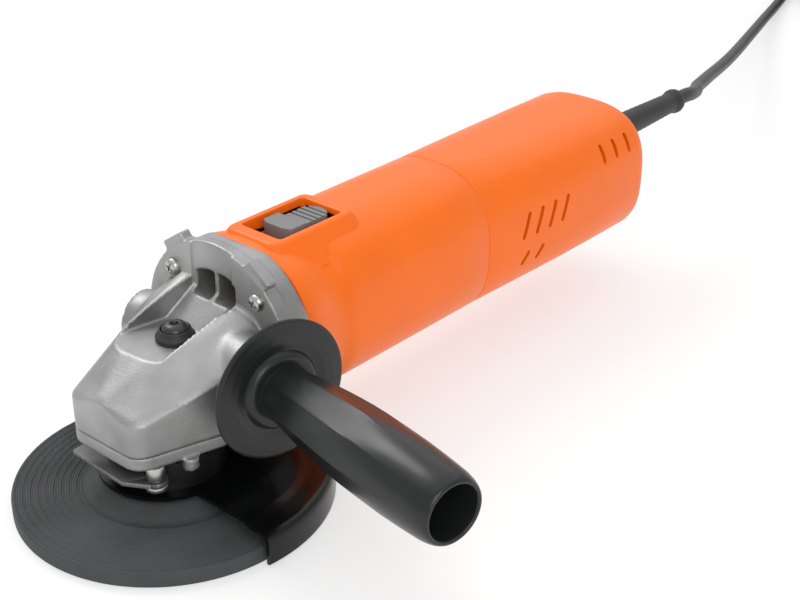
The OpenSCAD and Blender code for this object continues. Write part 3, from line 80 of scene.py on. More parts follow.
@dataclass(frozen=True)
class Finish:
    """One material: its colour and gloss, and the relief and wear that break them up."""

    name: str
    colour: tuple[float, float, float]
    rough: float
    metal: float = 0.0
    grain: Grain = Grain.MOULDED
    grain_mm: float = 0.6
    relief: float = 0.1
    mottle: float = 0.05
    rough_swing: float = 0.06
    coat: float = 0.0
    wear: Optional[tuple[float, float, float]] = None
    glow: float = 0.0
    shine: float = 0.5

    def material(self) -> bpy.types.Material:
        """Builds the material once and hands the same one out after that."""
        if self.name in MADE:
            return MADE[self.name]
        mat = bpy.data.materials.new(f"{self.name}_surface")
        MADE[self.name] = mat
        mat.use_nodes = True
        tree = mat.node_tree
        shader = next(n for n in tree.nodes if n.type == "BSDF_PRINCIPLED")
        shader.inputs["Metallic"].default_value = self.metal
        shader.inputs["Specular IOR Level"].default_value = self.shine
        shader.inputs["Coat Weight"].default_value = self.coat
        shader.inputs["Coat Roughness"].default_value = COAT_ROUGH
        shader.inputs["Emission Color"].default_value = (1, 1, 1, 1)
        shader.inputs["Emission Strength"].default_value = self.glow
        place = tree.nodes.new("ShaderNodeTexCoord")
        cloud = self._noise(tree, place, MOTTLE_SCALE, 4.0)
        fine = self._fine(tree, place)
        colour = self._ramp(tree, cloud, self.colour, self.mottle)
        if self.wear:
            colour = self._worn(tree, colour, fine)
        tree.links.new(colour, shader.inputs["Base Color"])
        gloss = tree.nodes.new("ShaderNodeMapRange")
        gloss.inputs["To Min"].default_value = max(0.03, self.rough - self.rough_swing)
        gloss.inputs["To Max"].default_value = min(1.0, self.rough + self.rough_swing)
        tree.links.new(cloud, gloss.inputs["Value"])
        tree.links.new(gloss.outputs["Result"], shader.inputs["Roughness"])
        bump = tree.nodes.new("ShaderNodeBump")
        bump.inputs["Strength"].default_value = min(1.0, self.relief * 4)
        bump.inputs["Distance"].default_value = self.relief * self.grain_mm * MM
        tree.links.new(fine, bump.inputs["Height"])
        tree.links.new(bump.outputs["Normal"], shader.inputs["Normal"])
        return mat

    def _noise(self, tree: bpy.types.NodeTree, place: bpy.types.Node, scale: float,
               detail: float) -> bpy.types.NodeSocket:
        """Adds a noise texture on the object's own coordinates and returns its value."""
        noise = tree.nodes.new("ShaderNodeTexNoise")
        noise.inputs["Scale"].default_value = scale
        noise.inputs["Detail"].default_value = detail
        tree.links.new(place.outputs["Object"], noise.inputs["Vector"])
        return noise.outputs["Fac"]

    def _fine(self, tree: bpy.types.NodeTree, place: bpy.types.Node) -> bpy.types.NodeSocket:
        """Adds the fine relief for this finish's kind of grain and returns its height."""
        scale = 1.0 / (self.grain_mm * MM)
        if self.grain is Grain.GRIT:
            cells = tree.nodes.new("ShaderNodeTexVoronoi")
            cells.inputs["Scale"].default_value = scale
            tree.links.new(place.outputs["Object"], cells.inputs["Vector"])
            return cells.outputs["Distance"]
        if self.grain in (Grain.TURNED, Grain.BRUSHED):
            stretch = tree.nodes.new("ShaderNodeMapping")
            flat = (1.0, 1.0, 0.06) if self.grain is Grain.BRUSHED else (0.08, 0.08, 1.0)
            stretch.inputs["Scale"].default_value = flat
            tree.links.new(place.outputs["Object"], stretch.inputs["Vector"])
            noise = tree.nodes.new("ShaderNodeTexNoise")
            noise.inputs["Scale"].default_value = scale
            noise.inputs["Detail"].default_value = 3.0
            tree.links.new(stretch.outputs["Vector"], noise.inputs["Vector"])
            return noise.outputs["Fac"]
        return self._noise(tree, place, scale, 5.0 if self.grain is Grain.CAST else 2.0)

    def _ramp(self, tree: bpy.types.NodeTree, value: bpy.types.NodeSocket,
              colour: tuple[float, float, float], swing: float) -> bpy.types.NodeSocket:
        """Spreads the base colour between a darker and a lighter tone."""
        ramp = tree.nodes.new("ShaderNodeValToRGB")
        low, high = ramp.color_ramp.elements[0], ramp.color_ramp.elements[1]
        low.position, high.position = RAMP_LOW, RAMP_HIGH
        low.color = (*[c * (1 - swing) for c in colour], 1.0)
        high.color = (*[min(1.0, c * (1 + swing)) for c in colour], 1.0)
        tree.links.new(value, ramp.inputs["Fac"])
        return ramp.outputs["Color"]

    def _worn(self, tree: bpy.types.NodeTree, colour: bpy.types.NodeSocket,
              fine: bpy.types.NodeSocket) -> bpy.types.NodeSocket:
        """Lets the worn tone through on raised edges, broken up by the fine relief."""
        edge = tree.nodes.new("ShaderNodeNewGeometry")
        band = tree.nodes.new("ShaderNodeMapRange")
        band.inputs["From Min"].default_value = WEAR_FROM
        band.inputs["From Max"].default_value = WEAR_TO
        tree.links.new(edge.outputs["Pointiness"], band.inputs["Value"])
        patch = tree.nodes.new("ShaderNodeMath")
        patch.operation = "MULTIPLY"
        tree.links.new(band.outputs["Result"], patch.inputs[0])
        tree.links.new(fine, patch.inputs[1])
        mix = tree.nodes.new("ShaderNodeMix")
        mix.data_type = "RGBA"
        mix.inputs["B"].default_value = (*self.wear, 1.0)
        tree.links.new(patch.outputs["Value"], mix.inputs["Factor"])
        tree.links.new(colour, mix.inputs["A"])
        return mix.outputs["Result"]


CAST_ALUMINIUM = Finish("cast_aluminium", (0.335, 0.338, 0.335), 0.44, 0.8, Grain.CAST, 1.1, 0.14,
                        0.26, 0.09, wear=(0.60, 0.60, 0.59))
MACHINED_STEEL = Finish("machined_steel", (0.45, 0.45, 0.46), 0.26, 1.0, Grain.TURNED, 0.5, 0.08, 0.05)
GEAR_STEEL = Finish("gear_steel", (0.26, 0.26, 0.27), 0.34, 0.95, Grain.BRUSHED, 0.5, 0.08, 0.12)
BEARING_STEEL = Finish("bearing_steel", (0.70, 0.70, 0.71), 0.14, 1.0, Grain.TURNED, 0.4, 0.04, 0.03)
SCREW_ZINC = Finish("screw_zinc", (0.50, 0.50, 0.49), 0.28, 1.0, Grain.TURNED, 0.4, 0.10, 0.10)
SEAL_RUBBER = Finish("seal_rubber", (0.022, 0.022, 0.022), 0.55, 0.0, Grain.MOULDED, 0.5, 0.12, 0.12)
ORANGE_PLASTIC = Finish("orange_plastic", (0.90, 0.152, 0.002), 0.36, 0.0, Grain.MOULDED, 0.5, 0.03,
                        0.03, 0.05, 0.0, shine=0.35)
GREY_PLASTIC = Finish("grey_plastic", (0.20, 0.20, 0.20), 0.46, 0.0, Grain.MOULDED, 0.35, 0.12, 0.06,
                      shine=0.4)
BLACK_PLASTIC = Finish("black_plastic", (0.026, 0.026, 0.027), 0.30, 0.0, Grain.MOULDED, 0.4, 0.08, 0.15)
HANDLE_PLASTIC = Finish("handle_plastic", (0.012, 0.0125, 0.0125), 0.30, 0.0, Grain.MOULDED, 0.45, 0.05,
                        0.08, 0.08, 0.0, shine=0.4)
FAN_PLASTIC = Finish("fan_plastic", (0.55, 0.53, 0.47), 0.5, 0.0, Grain.MOULDED, 0.5, 0.1, 0.06)
GUARD_BLACK = Finish("guard_black", (0.0025, 0.0027, 0.003), 0.20, 0.0, Grain.MOULDED, 1.6, 0.03, 0.15,
                     0.05, 0.0, shine=0.3)
LEVER_STEEL = Finish("lever_steel", (0.020, 0.020, 0.021), 0.30, 0.35, Grain.BRUSHED, 0.4, 0.08, 0.15,
                     0.06, 0.0, wear=(0.55, 0.55, 0.55))
COLLAR_STEEL = Finish("collar_steel", (0.045, 0.045, 0.047), 0.34, 0.9, Grain.TURNED, 0.5, 0.1, 0.10)
WHEEL_ABRASIVE = Finish("wheel_abrasive", (0.056, 0.057, 0.059), 0.6, 0.0, Grain.GRIT, 0.55, 0.35,
                        0.24, 0.10, shine=0.3)
LAMINATIONS = Finish("lamination_steel", (0.20, 0.20, 0.22), 0.45, 0.9, Grain.TURNED, 0.5, 0.3, 0.1)
COPPER_WINDING = Finish("copper_winding", (0.45, 0.13, 0.035), 0.30, 0.6, Grain.TURNED, 0.9, 0.6, 0.15)
COMMUTATOR_COPPER = Finish("commutator_copper", (0.60, 0.22, 0.09), 0.28, 1.0, Grain.TURNED, 0.4, 0.1,
                           0.1)
BRASS = Finish("brass", (0.62, 0.42, 0.13), 0.25, 1.0, Grain.BRUSHED, 0.4, 0.08, 0.06)
CARBON = Finish("carbon", (0.02, 0.02, 0.022), 0.6, 0.0, Grain.GRIT, 0.3, 0.2, 0.1)
SPRING_STEEL = Finish("spring_steel", (0.42, 0.42, 0.43), 0.25, 1.0, Grain.TURNED, 0.3, 0.1, 0.05)
CAPACITOR_CASE = Finish("capacitor_film", (0.55, 0.29, 0.02), 0.35, 0.0, Grain.MOULDED, 0.5, 0.1, 0.05)
CORD_RUBBER = Finish("cord_rubber", (0.036, 0.036, 0.037), 0.45, 0.0, Grain.MOULDED, 0.5, 0.06, 0.08,
                     shine=0.3)
SLEEVE_RUBBER = Finish("sleeve_rubber", (0.036, 0.036, 0.038), 0.5, 0.0, Grain.MOULDED, 0.5, 0.08, 0.1,
                       shine=0.3)
FLOOR_WHITE = Finish("floor_white", (0.42, 0.42, 0.42), 0.9, 0.0, Grain.MOULDED, 2.0, 0.01, 0.002,
                     glow=0.55, shine=0.1)

FINISHES: dict[str, Finish] = {f.name: f for f in (
    CAST_ALUMINIUM, MACHINED_STEEL, GEAR_STEEL, BEARING_STEEL, SCREW_ZINC, SEAL_RUBBER, ORANGE_PLASTIC,
    GREY_PLASTIC, BLACK_PLASTIC, HANDLE_PLASTIC, FAN_PLASTIC, GUARD_BLACK, LEVER_STEEL, COLLAR_STEEL,
    WHEEL_ABRASIVE, LAMINATIONS, COPPER_WINDING, COMMUTATOR_COPPER, BRASS, CARBON, SPRING_STEEL,
    CAPACITOR_CASE, CORD_RUBBER, SLEEVE_RUBBER)}


def material_slot(node: str) -> str:
    """Gives the record's material slot of a CAD node."""
    return next(p["material_slot"] for p in frame["record"]["subparts"] if p["node"] == node)


def body_of_node(node: str) -> str:
    """Gives the body that a CAD node belongs to."""
    bodies = frame["record"]["behaviour"]["bodies"]
    return next(body for body, nodes in bodies.items() if node in nodes)


class Meshwork:
    """Builds meshes from rings of points and finishes them as pieces of the object."""

    @staticmethod
    def loft(rings: Sequence[Ring], capped: bool = True, looped: bool = False) -> bpy.types.Mesh:
        """Skins a run of rings that all have the same number of points.

        Args:
            rings: the rings, in order, in millimetres.
            capped: closes the first and last ring with a fan to its centre.
            looped: joins the last ring to the first in place of caps.

        Returns:
            The new mesh, in metres.
        """
        count = len(rings[0])
        points = [p * MM for ring in rings for p in ring]
        last = len(rings) if looped else len(rings) - 1
        faces = []
        for r in range(last):
            a, b = r * count, ((r + 1) % len(rings)) * count
            faces += [(a + k, a + (k + 1) % count, b + (k + 1) % count, b + k) for k in range(count)]
        if capped and not looped:
            for ring, base, flip in ((rings[0], 0, True), (rings[-1], (len(rings) - 1) * count, False)):
                centre = sum(ring, Vector((0, 0, 0))) / count * MM
                points.append(centre)
                hub = len(points) - 1
                for k in range(count):
                    a, b = base + k, base + (k + 1) % count
                    faces.append((b, a, hub) if flip else (a, b, hub))
        mesh = bpy.data.meshes.new("lofted")
        mesh.from_pydata(points, [], faces)
        Meshwork.tidy(mesh)
        return mesh

    @staticmethod
    def tidy(mesh: bpy.types.Mesh, weld_mm: float = 0.001) -> None:
        """Welds doubled points, drops empty faces and turns all faces outwards."""
        work = bmesh.new()
        work.from_mesh(mesh)
        bmesh.ops.remove_doubles(work, verts=work.verts, dist=weld_mm * MM)
        bmesh.ops.dissolve_degenerate(work, edges=work.edges, dist=weld_mm * MM * 0.5)
        bmesh.ops.recalc_face_normals(work, faces=work.faces)
        work.to_mesh(mesh)
        work.free()

    @staticmethod
    def revolve(profile: Sequence[tuple[float, float]], matrix: Matrix, steps: int = 96,
                looped: bool = False, ripple: Optional[Callable[[float, float, float], float]] = None
                ) -> bpy.types.Mesh:
        """Turns a profile of (radius, height) about +Z and places it by a matrix.

        Args:
            profile: (radius, height) pairs in millimetres.
            matrix: places the turned piece; its offsets are in millimetres.
            steps: points round the circle.
            looped: joins the profile's end to its start, for a piece with a hole through.
            ripple: changes the radius at (angle, radius, height), for flutes and facets.

        Returns:
            The new mesh, in metres.
        """
        rings = []
        for r, h in profile:
            ring = []
            for k in range(steps):
                a = 2 * math.pi * k / steps
                rr = ripple(a, r, h) if ripple else r
                ring.append(matrix @ Vector((rr * math.cos(a), rr * math.sin(a), h)))
            rings.append(ring)
        return Meshwork.loft(rings, capped=not looped, looped=looped)

    @staticmethod
    def thing(name: str, mesh: bpy.types.Mesh, finish: Finish, smooth: float = 32.0) -> bpy.types.Object:
        """Makes a shown object of a mesh, smooth except where faces meet sharply."""
        mesh.name = name
        mesh.materials.clear()
        mesh.materials.append(finish.material())
        mesh.shade_smooth()
        mesh.set_sharp_from_angle(angle=math.radians(smooth))
        obj = bpy.data.objects.new(name, mesh)
        bpy.context.scene.collection.objects.link(obj)
        return obj

    @staticmethod
    def fit(obj: bpy.types.Object, *nodes: str) -> bpy.types.Object:
        """Puts an object in the place of CAD nodes: it rides on their body and the nodes are hidden."""
        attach(obj, body_of_node(nodes[0]))
        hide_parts(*nodes)
        log.info("%s stands for %s", obj.name, ", ".join(nodes))
        return obj

    @staticmethod
    def settle(obj: bpy.types.Object, smooth: float = 32.0) -> None:
        """Applies all of an object's modifiers to its mesh."""
        graph = bpy.context.evaluated_depsgraph_get()
        mesh = bpy.data.meshes.new_from_object(obj.evaluated_get(graph), depsgraph=graph)
        obj.modifiers.clear()
        obj.data = mesh
        mesh.shade_smooth()
        mesh.set_sharp_from_angle(angle=math.radians(smooth))

    @staticmethod
    def cut(obj: bpy.types.Object, cutters: Iterable[bpy.types.Mesh], smooth: float = 32.0) -> None:
        """Takes the cutters' shapes out of an object."""
        work = bmesh.new()
        for mesh in cutters:
            work.from_mesh(mesh)
        tool_mesh = bpy.data.meshes.new("cutter")
        work.to_mesh(tool_mesh)
        work.free()
        tool = bpy.data.objects.new("cutter", tool_mesh)
        bpy.context.scene.collection.objects.link(tool)
        modifier = obj.modifiers.new("cut", "BOOLEAN")
        modifier.operation, modifier.solver, modifier.object = "DIFFERENCE", "EXACT", tool
        bpy.context.view_layer.update()
        Meshwork.settle(obj, smooth)
        bpy.data.objects.remove(tool)

    @staticmethod
    def copy_of(node: str, name: str) -> bpy.types.Object:
        """Copies a CAD node's mesh into a new object, welded, with its flat faces whole."""
        mesh = frame["nodes"][node].data.copy()
        work = bmesh.new()
        work.from_mesh(mesh)
        bmesh.ops.remove_doubles(work, verts=work.verts, dist=0.002 * MM)
        bmesh.ops.dissolve_limit(work, angle_limit=math.radians(0.5), verts=work.verts, edges=work.edges)
        work.to_mesh(mesh)
        work.free()
        return Meshwork.thing(name, mesh, FINISHES[material_slot(node)])

    @staticmethod
    def eased(node: str, name: str, edge_mm: float, segments: int = 2) -> bpy.types.Object:
        """Copies a CAD node with its sharp edges eased."""
        obj = Meshwork.copy_of(node, name)
        ease = obj.modifiers.new("ease", "BEVEL")
        ease.width, ease.segments = edge_mm * MM, segments
        ease.limit_method, ease.angle_limit = "ANGLE", math.radians(35)
        ease.use_clamp_overlap = True
        Meshwork.settle(obj)
        return Meshwork.fit(obj, node)

    @staticmethod
    def cast(node: str, name: str, voxel_mm: float, rounds: int) -> bpy.types.Object:
        """Copies a CAD node as a casting, with every edge and corner run soft."""
        obj = Meshwork.copy_of(node, name)
        skin = obj.modifiers.new("skin", "REMESH")
        skin.mode, skin.voxel_size = "VOXEL", voxel_mm * MM
        soften = obj.modifiers.new("soften", "SMOOTH")
        soften.factor, soften.iterations = 0.5, rounds
        Meshwork.settle(obj, CAST_SMOOTH_ANGLE)
        return Meshwork.fit(obj, node)


def squarish(half_w: float, half_h: float, power: float, y: float, count: int = 112) -> Ring:
    """Gives a squarish section about the motor axis at one station along it."""
    ring = []
    for k in range(count):
        a = 2 * math.pi * k / count
        c, s = math.cos(a), math.sin(a)
        x = math.copysign(abs(c) ** (2 / power), c) * half_w
        z = math.copysign(abs(s) ** (2 / power), s) * half_h
        ring.append(Vector((x, y, AXIS_Z + z)))
    return ring


def round_block(x0: float, x1: float, y0: float, y1: float, radius: float, z: float,
                grow: float = 0.0, arc: int = 6) -> Ring:
    """Gives a rectangle with round corners at one height."""
    r = max(0.05, radius + grow)
    ring = []
    for cx, cy, start in ((x1 - radius, y1 - radius, 0), (x0 + radius, y1 - radius, 90),
                          (x0 + radius, y0 + radius, 180), (x1 - radius, y0 + radius, 270)):
        for k in range(arc + 1):
            a = math.radians(start + 90 * k / arc)
            ring.append(Vector((cx + r * math.cos(a), cy + r * math.sin(a), z)))
    return ring


def stadium_cutter(length: float, width: float, depth: float, matrix: Matrix) -> bpy.types.Mesh:
    """Makes a slot-shaped cutter, long in its own Y, deep in its own X."""
    outline = []
    reach = length / 2 - width / 2
    for sign, start in ((1, 0), (-1, 180)):
        for k in range(9):
            a = math.radians(start + 180 * k / 8)
            outline.append((width / 2 * math.cos(a), sign * reach + width / 2 * math.sin(a)))
    rings = [[matrix @ Vector((x, v, -u)) for u, v in outline] for x in (-depth / 2, depth / 2)]
    return Meshwork.loft(rings)


def box_cutter(lo: tuple[float, float, float], hi: tuple[float, float, float]) -> bpy.types.Mesh:
    """Makes a plain box cutter between two corners."""
    rings = [[Vector((x, y, z)) for x, y in ((lo[0], lo[1]), (hi[0], lo[1]), (hi[0], hi[1]), (lo[0], hi[1]))]
             for z in (lo[2], hi[2])]
    return Meshwork.loft(rings)


def smooth_route(points: Sequence[tuple[float, float, float]], steps: int) -> list[Vector]:
    """Runs a smooth curve through route points, with some steps on each stretch."""
    pts = [Vector(p) for p in points]
    out = []
    for i in range(len(pts) - 1):
        p0, p1 = pts[max(i - 1, 0)], pts[i]
        p2, p3 = pts[i + 1], pts[min(i + 2, len(pts) - 1)]
        for s in range(steps):
            t = s / steps
            out.append(0.5 * (2 * p1 + (p2 - p0) * t + (2 * p0 - 5 * p1 + 4 * p2 - p3) * t * t
                              + (3 * p1 - p0 - 3 * p2 + p3) * t ** 3))
    return out + [pts[-1]]


@dataclass
class MainsLead:
    """The lead from its sleeve to the plug, with the stored length in a coil."""

    radius: float = 3.8
    exit: tuple[float, float, float] = (15, 348, 75.5)
    route: tuple[tuple[float, float, float], ...] = (
        (15, 348, 75.5), (15, 351, 75.5), (15, 354, 75.5), (14.4, 360, 74.9), (12.6, 367, 73.2),
        (9.2, 376, 70.6), (4.3, 387.5, 67.6), (-3.8, 403, 63.8), (-12.8, 425, 59), (-24.7, 455, 52.6),
        (-38, 490, 45.4), (-53.3, 530, 37.7), (-70.9, 575, 29.7), (-88.6, 620, 22.3), (-105.7, 665, 15.8),
        (-122.2, 710, 10.3), (-136.2, 751, 6.4), (-149, 790, 4.3), (-162.9, 832, 4))
    coil_centre: tuple[float, float] = (-106, 852)
    coil_radii: tuple[float, ...] = (52.8, 45.0, 37.2)
    layer_z: tuple[float, ...] = (4.0, 11.8, 19.6, 27.4)
    turn_points: int = 20
    leave_angle: float = 90.0
    tail: tuple[tuple[float, float, float], ...] = (
        (-106, 904.8, 27.4), (-95.9, 904.8, 27.4), (-85.9, 904.8, 27.3), (-75.9, 904.8, 26.6),
        (-65.4, 904.8, 25.2), (-55.1, 904.8, 23.6), (-42.9, 902.4, 22.1), (-32.5, 895.4, 20.7),
        (-25.5, 885, 19.4), (-23.1, 875, 18.5), (-23.1, 872, 18.5), (-23.1, 869, 18.5))
    plug_at: tuple[float, float] = (-23.1, 840)
    plug_radius: float = 18.5

    def coil_points(self) -> list[tuple[float, float, float]]:
        """Winds the stored length, out to in and back to out again, layer on layer."""
        cx, cy = self.coil_centre
        start = math.atan2(self.route[-1][1] - cy, self.route[-1][0] - cx)
        turns: list[tuple[float, float]] = []
        for layer, z in enumerate(self.layer_z):
            radii = self.coil_radii if layer % 2 == 0 else self.coil_radii[::-1]
            turns += [(r, z) for r in radii]
        points = []
        prev_r = math.hypot(self.route[-1][0] - cx, self.route[-1][1] - cy)
        prev_z = self.route[-1][2]
        for index, (r, z) in enumerate(turns):
            for k in range(self.turn_points):
                share = k / self.turn_points
                ease = min(1.0, share / 0.3)
                ease = ease * ease * (3 - 2 * ease)
                a = start - 2 * math.pi * share
                if index == 0 and k == 0:
                    continue
                rr, zz = prev_r + (r - prev_r) * ease, prev_z + (z - prev_z) * ease
                points.append((cx + rr * math.cos(a), cy + rr * math.sin(a), zz))
            prev_r, prev_z = r, z
        return points

    def build(self, sleeve: bpy.types.Object) -> None:
        """Makes the lead as one curve and dresses the pieces on it.

        Args:
            sleeve: the rubber sleeve that holds the lead at the housing; not used.
        """
        line = [Vector(p) for p in smooth_route(self.route, 3)]
        line += [Vector(p) for p in self.coil_points()] + self.leaving()
        curve = bpy.data.curves.new("mains_lead", "CURVE")
        curve.dimensions, curve.bevel_depth, curve.bevel_resolution = "3D", self.radius * MM, 4
        curve.use_fill_caps = True
        spline = curve.splines.new("POLY")
        spline.points.add(len(line) - 1)
        for point, place in zip(spline.points, line):
            point.co = (*(place * MM), 1.0)
        curve.materials.append(CORD_RUBBER.material())
        lead = bpy.data.objects.new("mains_lead", curve)
        bpy.context.scene.collection.objects.link(lead)
        spline.use_smooth = True
        Meshwork.fit(lead, "mains_cord", "cord_coil")
        tie = self.tie()
        plug = self.plug()

    def leaving(self) -> list[Vector]:
        """Runs on round the top of the coil to where the lead leaves it, and out to the plug."""
        cx, cy = self.coil_centre
        start = math.atan2(self.route[-1][1] - cy, self.route[-1][0] - cx)
        finish = math.radians(self.leave_angle)
        while finish > start:
            finish -= 2 * math.pi
        r, z, steps = self.coil_radii[0], self.layer_z[-1], 8
        sweep = [Vector((cx + r * math.cos(a), cy + r * math.sin(a), z))
                 for a in (start + (finish - start) * k / steps for k in range(steps))]
        return sweep + smooth_route(self.tail, 2)

    def tie(self) -> bpy.types.Object:
        """Makes the strap round the coil, with its free end and a rounded edge."""
        return Meshwork.eased("cord_tie", "cord_tie_strap", 0.25)

    def plug(self) -> list[bpy.types.Object]:
        """Turns the plug's body with grip rings and rounds its pins."""
        r = self.plug_radius
        place = Matrix.Translation((self.plug_at[0], self.plug_at[1], r)) @ Matrix.Rotation(
            math.radians(-90), 4, "X")
        profile = [(0.01, -19), (r - 1.6, -19), (r - 0.4, -18.4), (r, -17.2), (r, -7), (r - 0.8, -5.2)]
        profile += [(r - 5 - 0.45 * k - (0.7 if k % 2 else 0.0), -1 + 1.9 * k) for k in range(11)]
        profile += [(7.2, 20.5), (6.4, 22), (6.0, 28.4), (5.4, 29), (0.01, 29)]
        body = Meshwork.thing("plug_moulding", Meshwork.revolve(profile, place, 64), SEAL_RUBBER)
        Meshwork.fit(body, "plug_body")
        pins = Meshwork.eased("plug_pins", "plug_pin_pair", 0.5, 3)
        return [body, pins]


@dataclass
class Camera:
    """The camera, in millimetres, looking at a point over the grinder."""

    target: tuple[float, float, float] = (10.8, 128.7, 40.0)
    azimuth: float = 41.05
    elevation: float = 27.62
    distance: float = 657.2
    lens: float = 66.2

    def build(self) -> None:
        """Places the camera and makes it the scene's."""
        data = bpy.data.cameras.new("studio_camera")
        data.lens, data.sensor_width = self.lens, 36.0
        data.clip_start, data.clip_end = 0.01, 50.0
        camera = bpy.data.objects.new("studio_camera", data)
        bpy.context.scene.collection.objects.link(camera)
        a, e = math.radians(self.azimuth), math.radians(self.elevation)
        back = Vector((math.sin(a) * math.cos(e), -math.cos(a) * math.cos(e), math.sin(e)))
        camera.location = (Vector(self.target) + back * self.distance) * MM
        camera.rotation_mode = "QUATERNION"
        camera.rotation_quaternion = (-back).to_track_quat("-Z", "Y")
        bpy.context.scene.camera = camera


@dataclass
class Studio:
    """A pale floor, an even sky, one broad light above and two soft lamps."""

    floor_half: float = 6000.0
    sky: float = 0.65
    sun_power: float = 0.9
    sun_spread: float = 90.0
    lamp_aim: tuple[float, float, float] = (0, 120, 40)

    def build(self) -> None:
        """Lays the floor, lights the scene and sets plain tones."""
        half = self.floor_half
        rings = [[Vector((x, y, z)) for x, y in ((-half, -half), (half, -half), (half, half), (-half, half))]
                 for z in (-4.0, -0.05)]
        floor = Meshwork.thing("studio_floor", Meshwork.loft(rings), FLOOR_WHITE)
        world = bpy.data.worlds.new("studio_sky")
        world.use_nodes = True
        world.node_tree.nodes["Background"].inputs["Color"].default_value = (1, 1, 1, 1)
        world.node_tree.nodes["Background"].inputs["Strength"].default_value = self.sky
        bpy.context.scene.world = world
        self.sun()
        self.lamp("key", (-700, 100, 1000), 420, 3.6)
        self.lamp("fill", (900, -600, 700), 700, 5.0)
        bpy.context.scene.view_settings.view_transform = "Standard"

    def sun(self) -> None:
        """Sets one very broad light high up, behind the grinder and on its left."""
        data = bpy.data.lights.new("overhead", "SUN")
        data.energy, data.angle = self.sun_power, math.radians(self.sun_spread)
        lamp = bpy.data.objects.new("overhead", data)
        aim = Vector((0.38, -0.30, -1.0))
        lamp.rotation_mode = "QUATERNION"
        lamp.rotation_quaternion = aim.to_track_quat("-Z", "Y")
        bpy.context.scene.collection.objects.link(lamp)

    def lamp(self, name: str, place: tuple[float, float, float], size: float, power: float) -> None:
        """Hangs one square soft light that faces the grinder."""
        data = bpy.data.lights.new(name, "AREA")
        data.shape, data.size, data.energy = "SQUARE", size * MM, power
        lamp = bpy.data.objects.new(name, data)
        lamp.location = Vector(place) * MM
        aim = Vector(self.lamp_aim) * MM - lamp.location
        lamp.rotation_mode = "QUATERNION"
        lamp.rotation_quaternion = aim.to_track_quat("-Z", "Y")
        bpy.context.scene.collection.objects.link(lamp)


